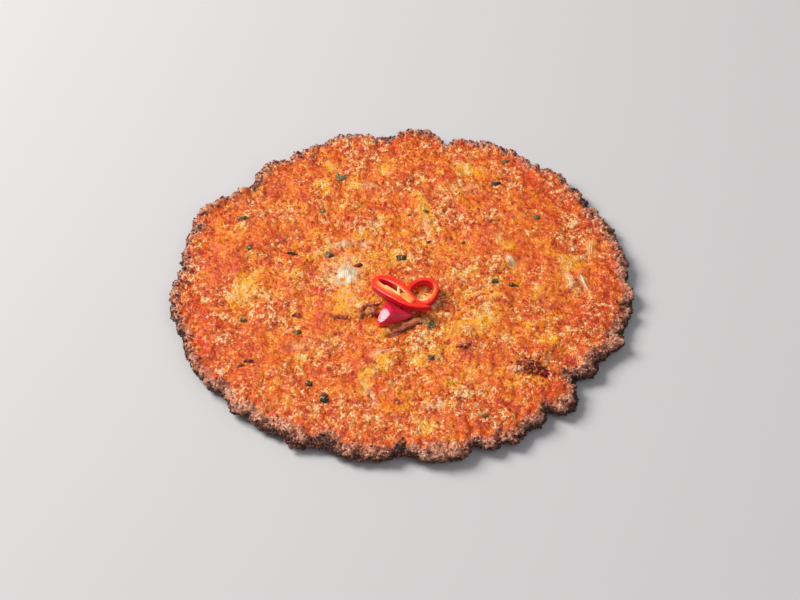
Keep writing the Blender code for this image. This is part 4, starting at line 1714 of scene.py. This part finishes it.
@dataclass
class Studio:
    """The pale floor, the soft lights and the camera."""

    floor_side: float = 6.0
    floor_drop: float = 0.00002  # keeps the floor off the flat underside
    # Name, place, side in metres, power in watts, colour
    lights: tuple[tuple[str, Row, float, float, str], ...] = (
        ("key", (-1.25, 0.55, 1.25), 0.95, 44.0, "#FFFDFA"),
        ("fill", (0.9, -1.1, 1.5), 1.6, 7.0, "#F6F9FF"),
    )
    sky: str = "#E8EAEE"
    sky_strength: float = 0.30
    camera_place: Row = (-0.0005, -0.6030, 0.6245)
    camera_tilt: float = 43.7
    lens: float = 85.0
    sensor: float = 36.0

    def floor(self) -> None:
        """Lay the floor."""
        half = self.floor_side / 2
        corners = [(-half, -half), (half, -half), (half, half), (-half, half)]
        mesh = bpy.data.meshes.new("floor")
        mesh.from_pydata([(x, y, -self.floor_drop) for x, y in corners], [], [(0, 1, 2, 3)])
        made = bpy.data.objects.new("floor", mesh)
        bpy.context.scene.collection.objects.link(made)
        mesh.materials.append(PaintedFloor().material())

    def soft_box(
        self, name: str, place: Sequence[float], side: float, power: float, colour: str
    ) -> None:
        """Hang a square soft light that faces the pancake.

        Args:
            name: the light's name.
            place: where it hangs, in metres.
            side: how wide it is, in metres.
            power: its power in watts.
            colour: its colour.
        """
        light = bpy.data.lights.new(name, "AREA")
        light.shape = "SQUARE"
        light.size = side
        light.energy = power
        light.color = srgb(colour)[:3]
        made = bpy.data.objects.new(name, light)
        made.location = place
        made.rotation_euler = (-Vector(place)).to_track_quat("-Z", "Y").to_euler()
        bpy.context.scene.collection.objects.link(made)

    def camera(self) -> None:
        """Set the camera at the photograph's angle."""
        seen = bpy.data.cameras.new("camera")
        seen.lens, seen.sensor_width = self.lens, self.sensor
        made = bpy.data.objects.new("camera", seen)
        made.location = self.camera_place
        made.rotation_euler = (math.radians(self.camera_tilt), 0, 0)
        bpy.context.scene.collection.objects.link(made)
        bpy.context.scene.camera = made

    def build(self) -> None:
        """Set up the studio."""
        self.floor()
        for light in self.lights:
            self.soft_box(*light)
        world = bpy.data.worlds.new("studio")
        world.use_nodes = True
        ground = world.node_tree.nodes["Background"]
        ground.inputs["Color"].default_value = srgb(self.sky)
        ground.inputs["Strength"].default_value = self.sky_strength
        bpy.context.scene.world = world
        bpy.context.scene.view_settings.view_transform = "Standard"
        self.camera()
        log.info("studio: floor, lights and camera")


def main() -> None:
    """Build every piece in order."""
    logging.basicConfig(level=logging.INFO, format="%(message)s", stream=sys.stdout)
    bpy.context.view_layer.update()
    draw = np.random.default_rng(SEED)
    form = PancakeForm()
    crust = Crust(form).build()
    ground = Ground(crust)
    crumbs = Crumbs(form, ground)
    dress(crust, FriedBatter(), Slot.BATTER, "pancake")
    dress(crumbs.rim(draw), BrownedCrumb(), Slot.BATTER, "pancake")
    kimchi_crumb = BrownedCrumb("browned_kimchi_and_batter", "#561A0E", "#A8421C", "#E8905C")
    dress(crumbs.top(draw), kimchi_crumb, Slot.BATTER, "pancake")
    dress(KimchiPieces(ground).build(draw), CookedKimchi(), Slot.BATTER, "pancake")
    dress(ScallionBits(ground).build(draw), FriedScallion(), Slot.BATTER, "pancake")
    dress(ChilliFlakes(ground).build(draw), ChilliFlake(), Slot.BATTER, "pancake")
    cut_chilli = FreshChilli()
    for ring in (LONG_RING, ROUND_RING):
        dress(ring.build(), cut_chilli, Slot.CHILLI, ring.name)
    wedge = ChilliWedge()
    skin = FreshChilli(
        "waxy_chilli_skin", skin="#E6003C", wetness=1.0, sharpness=0.12, ripple=0.4,
        roughness=0.2, gloss=0.35, ripple_mm=1.1,
    )
    dress(wedge.build(), skin, Slot.CHILLI, wedge.name)
    Studio().build()


if __name__ == "__main__":
    main()
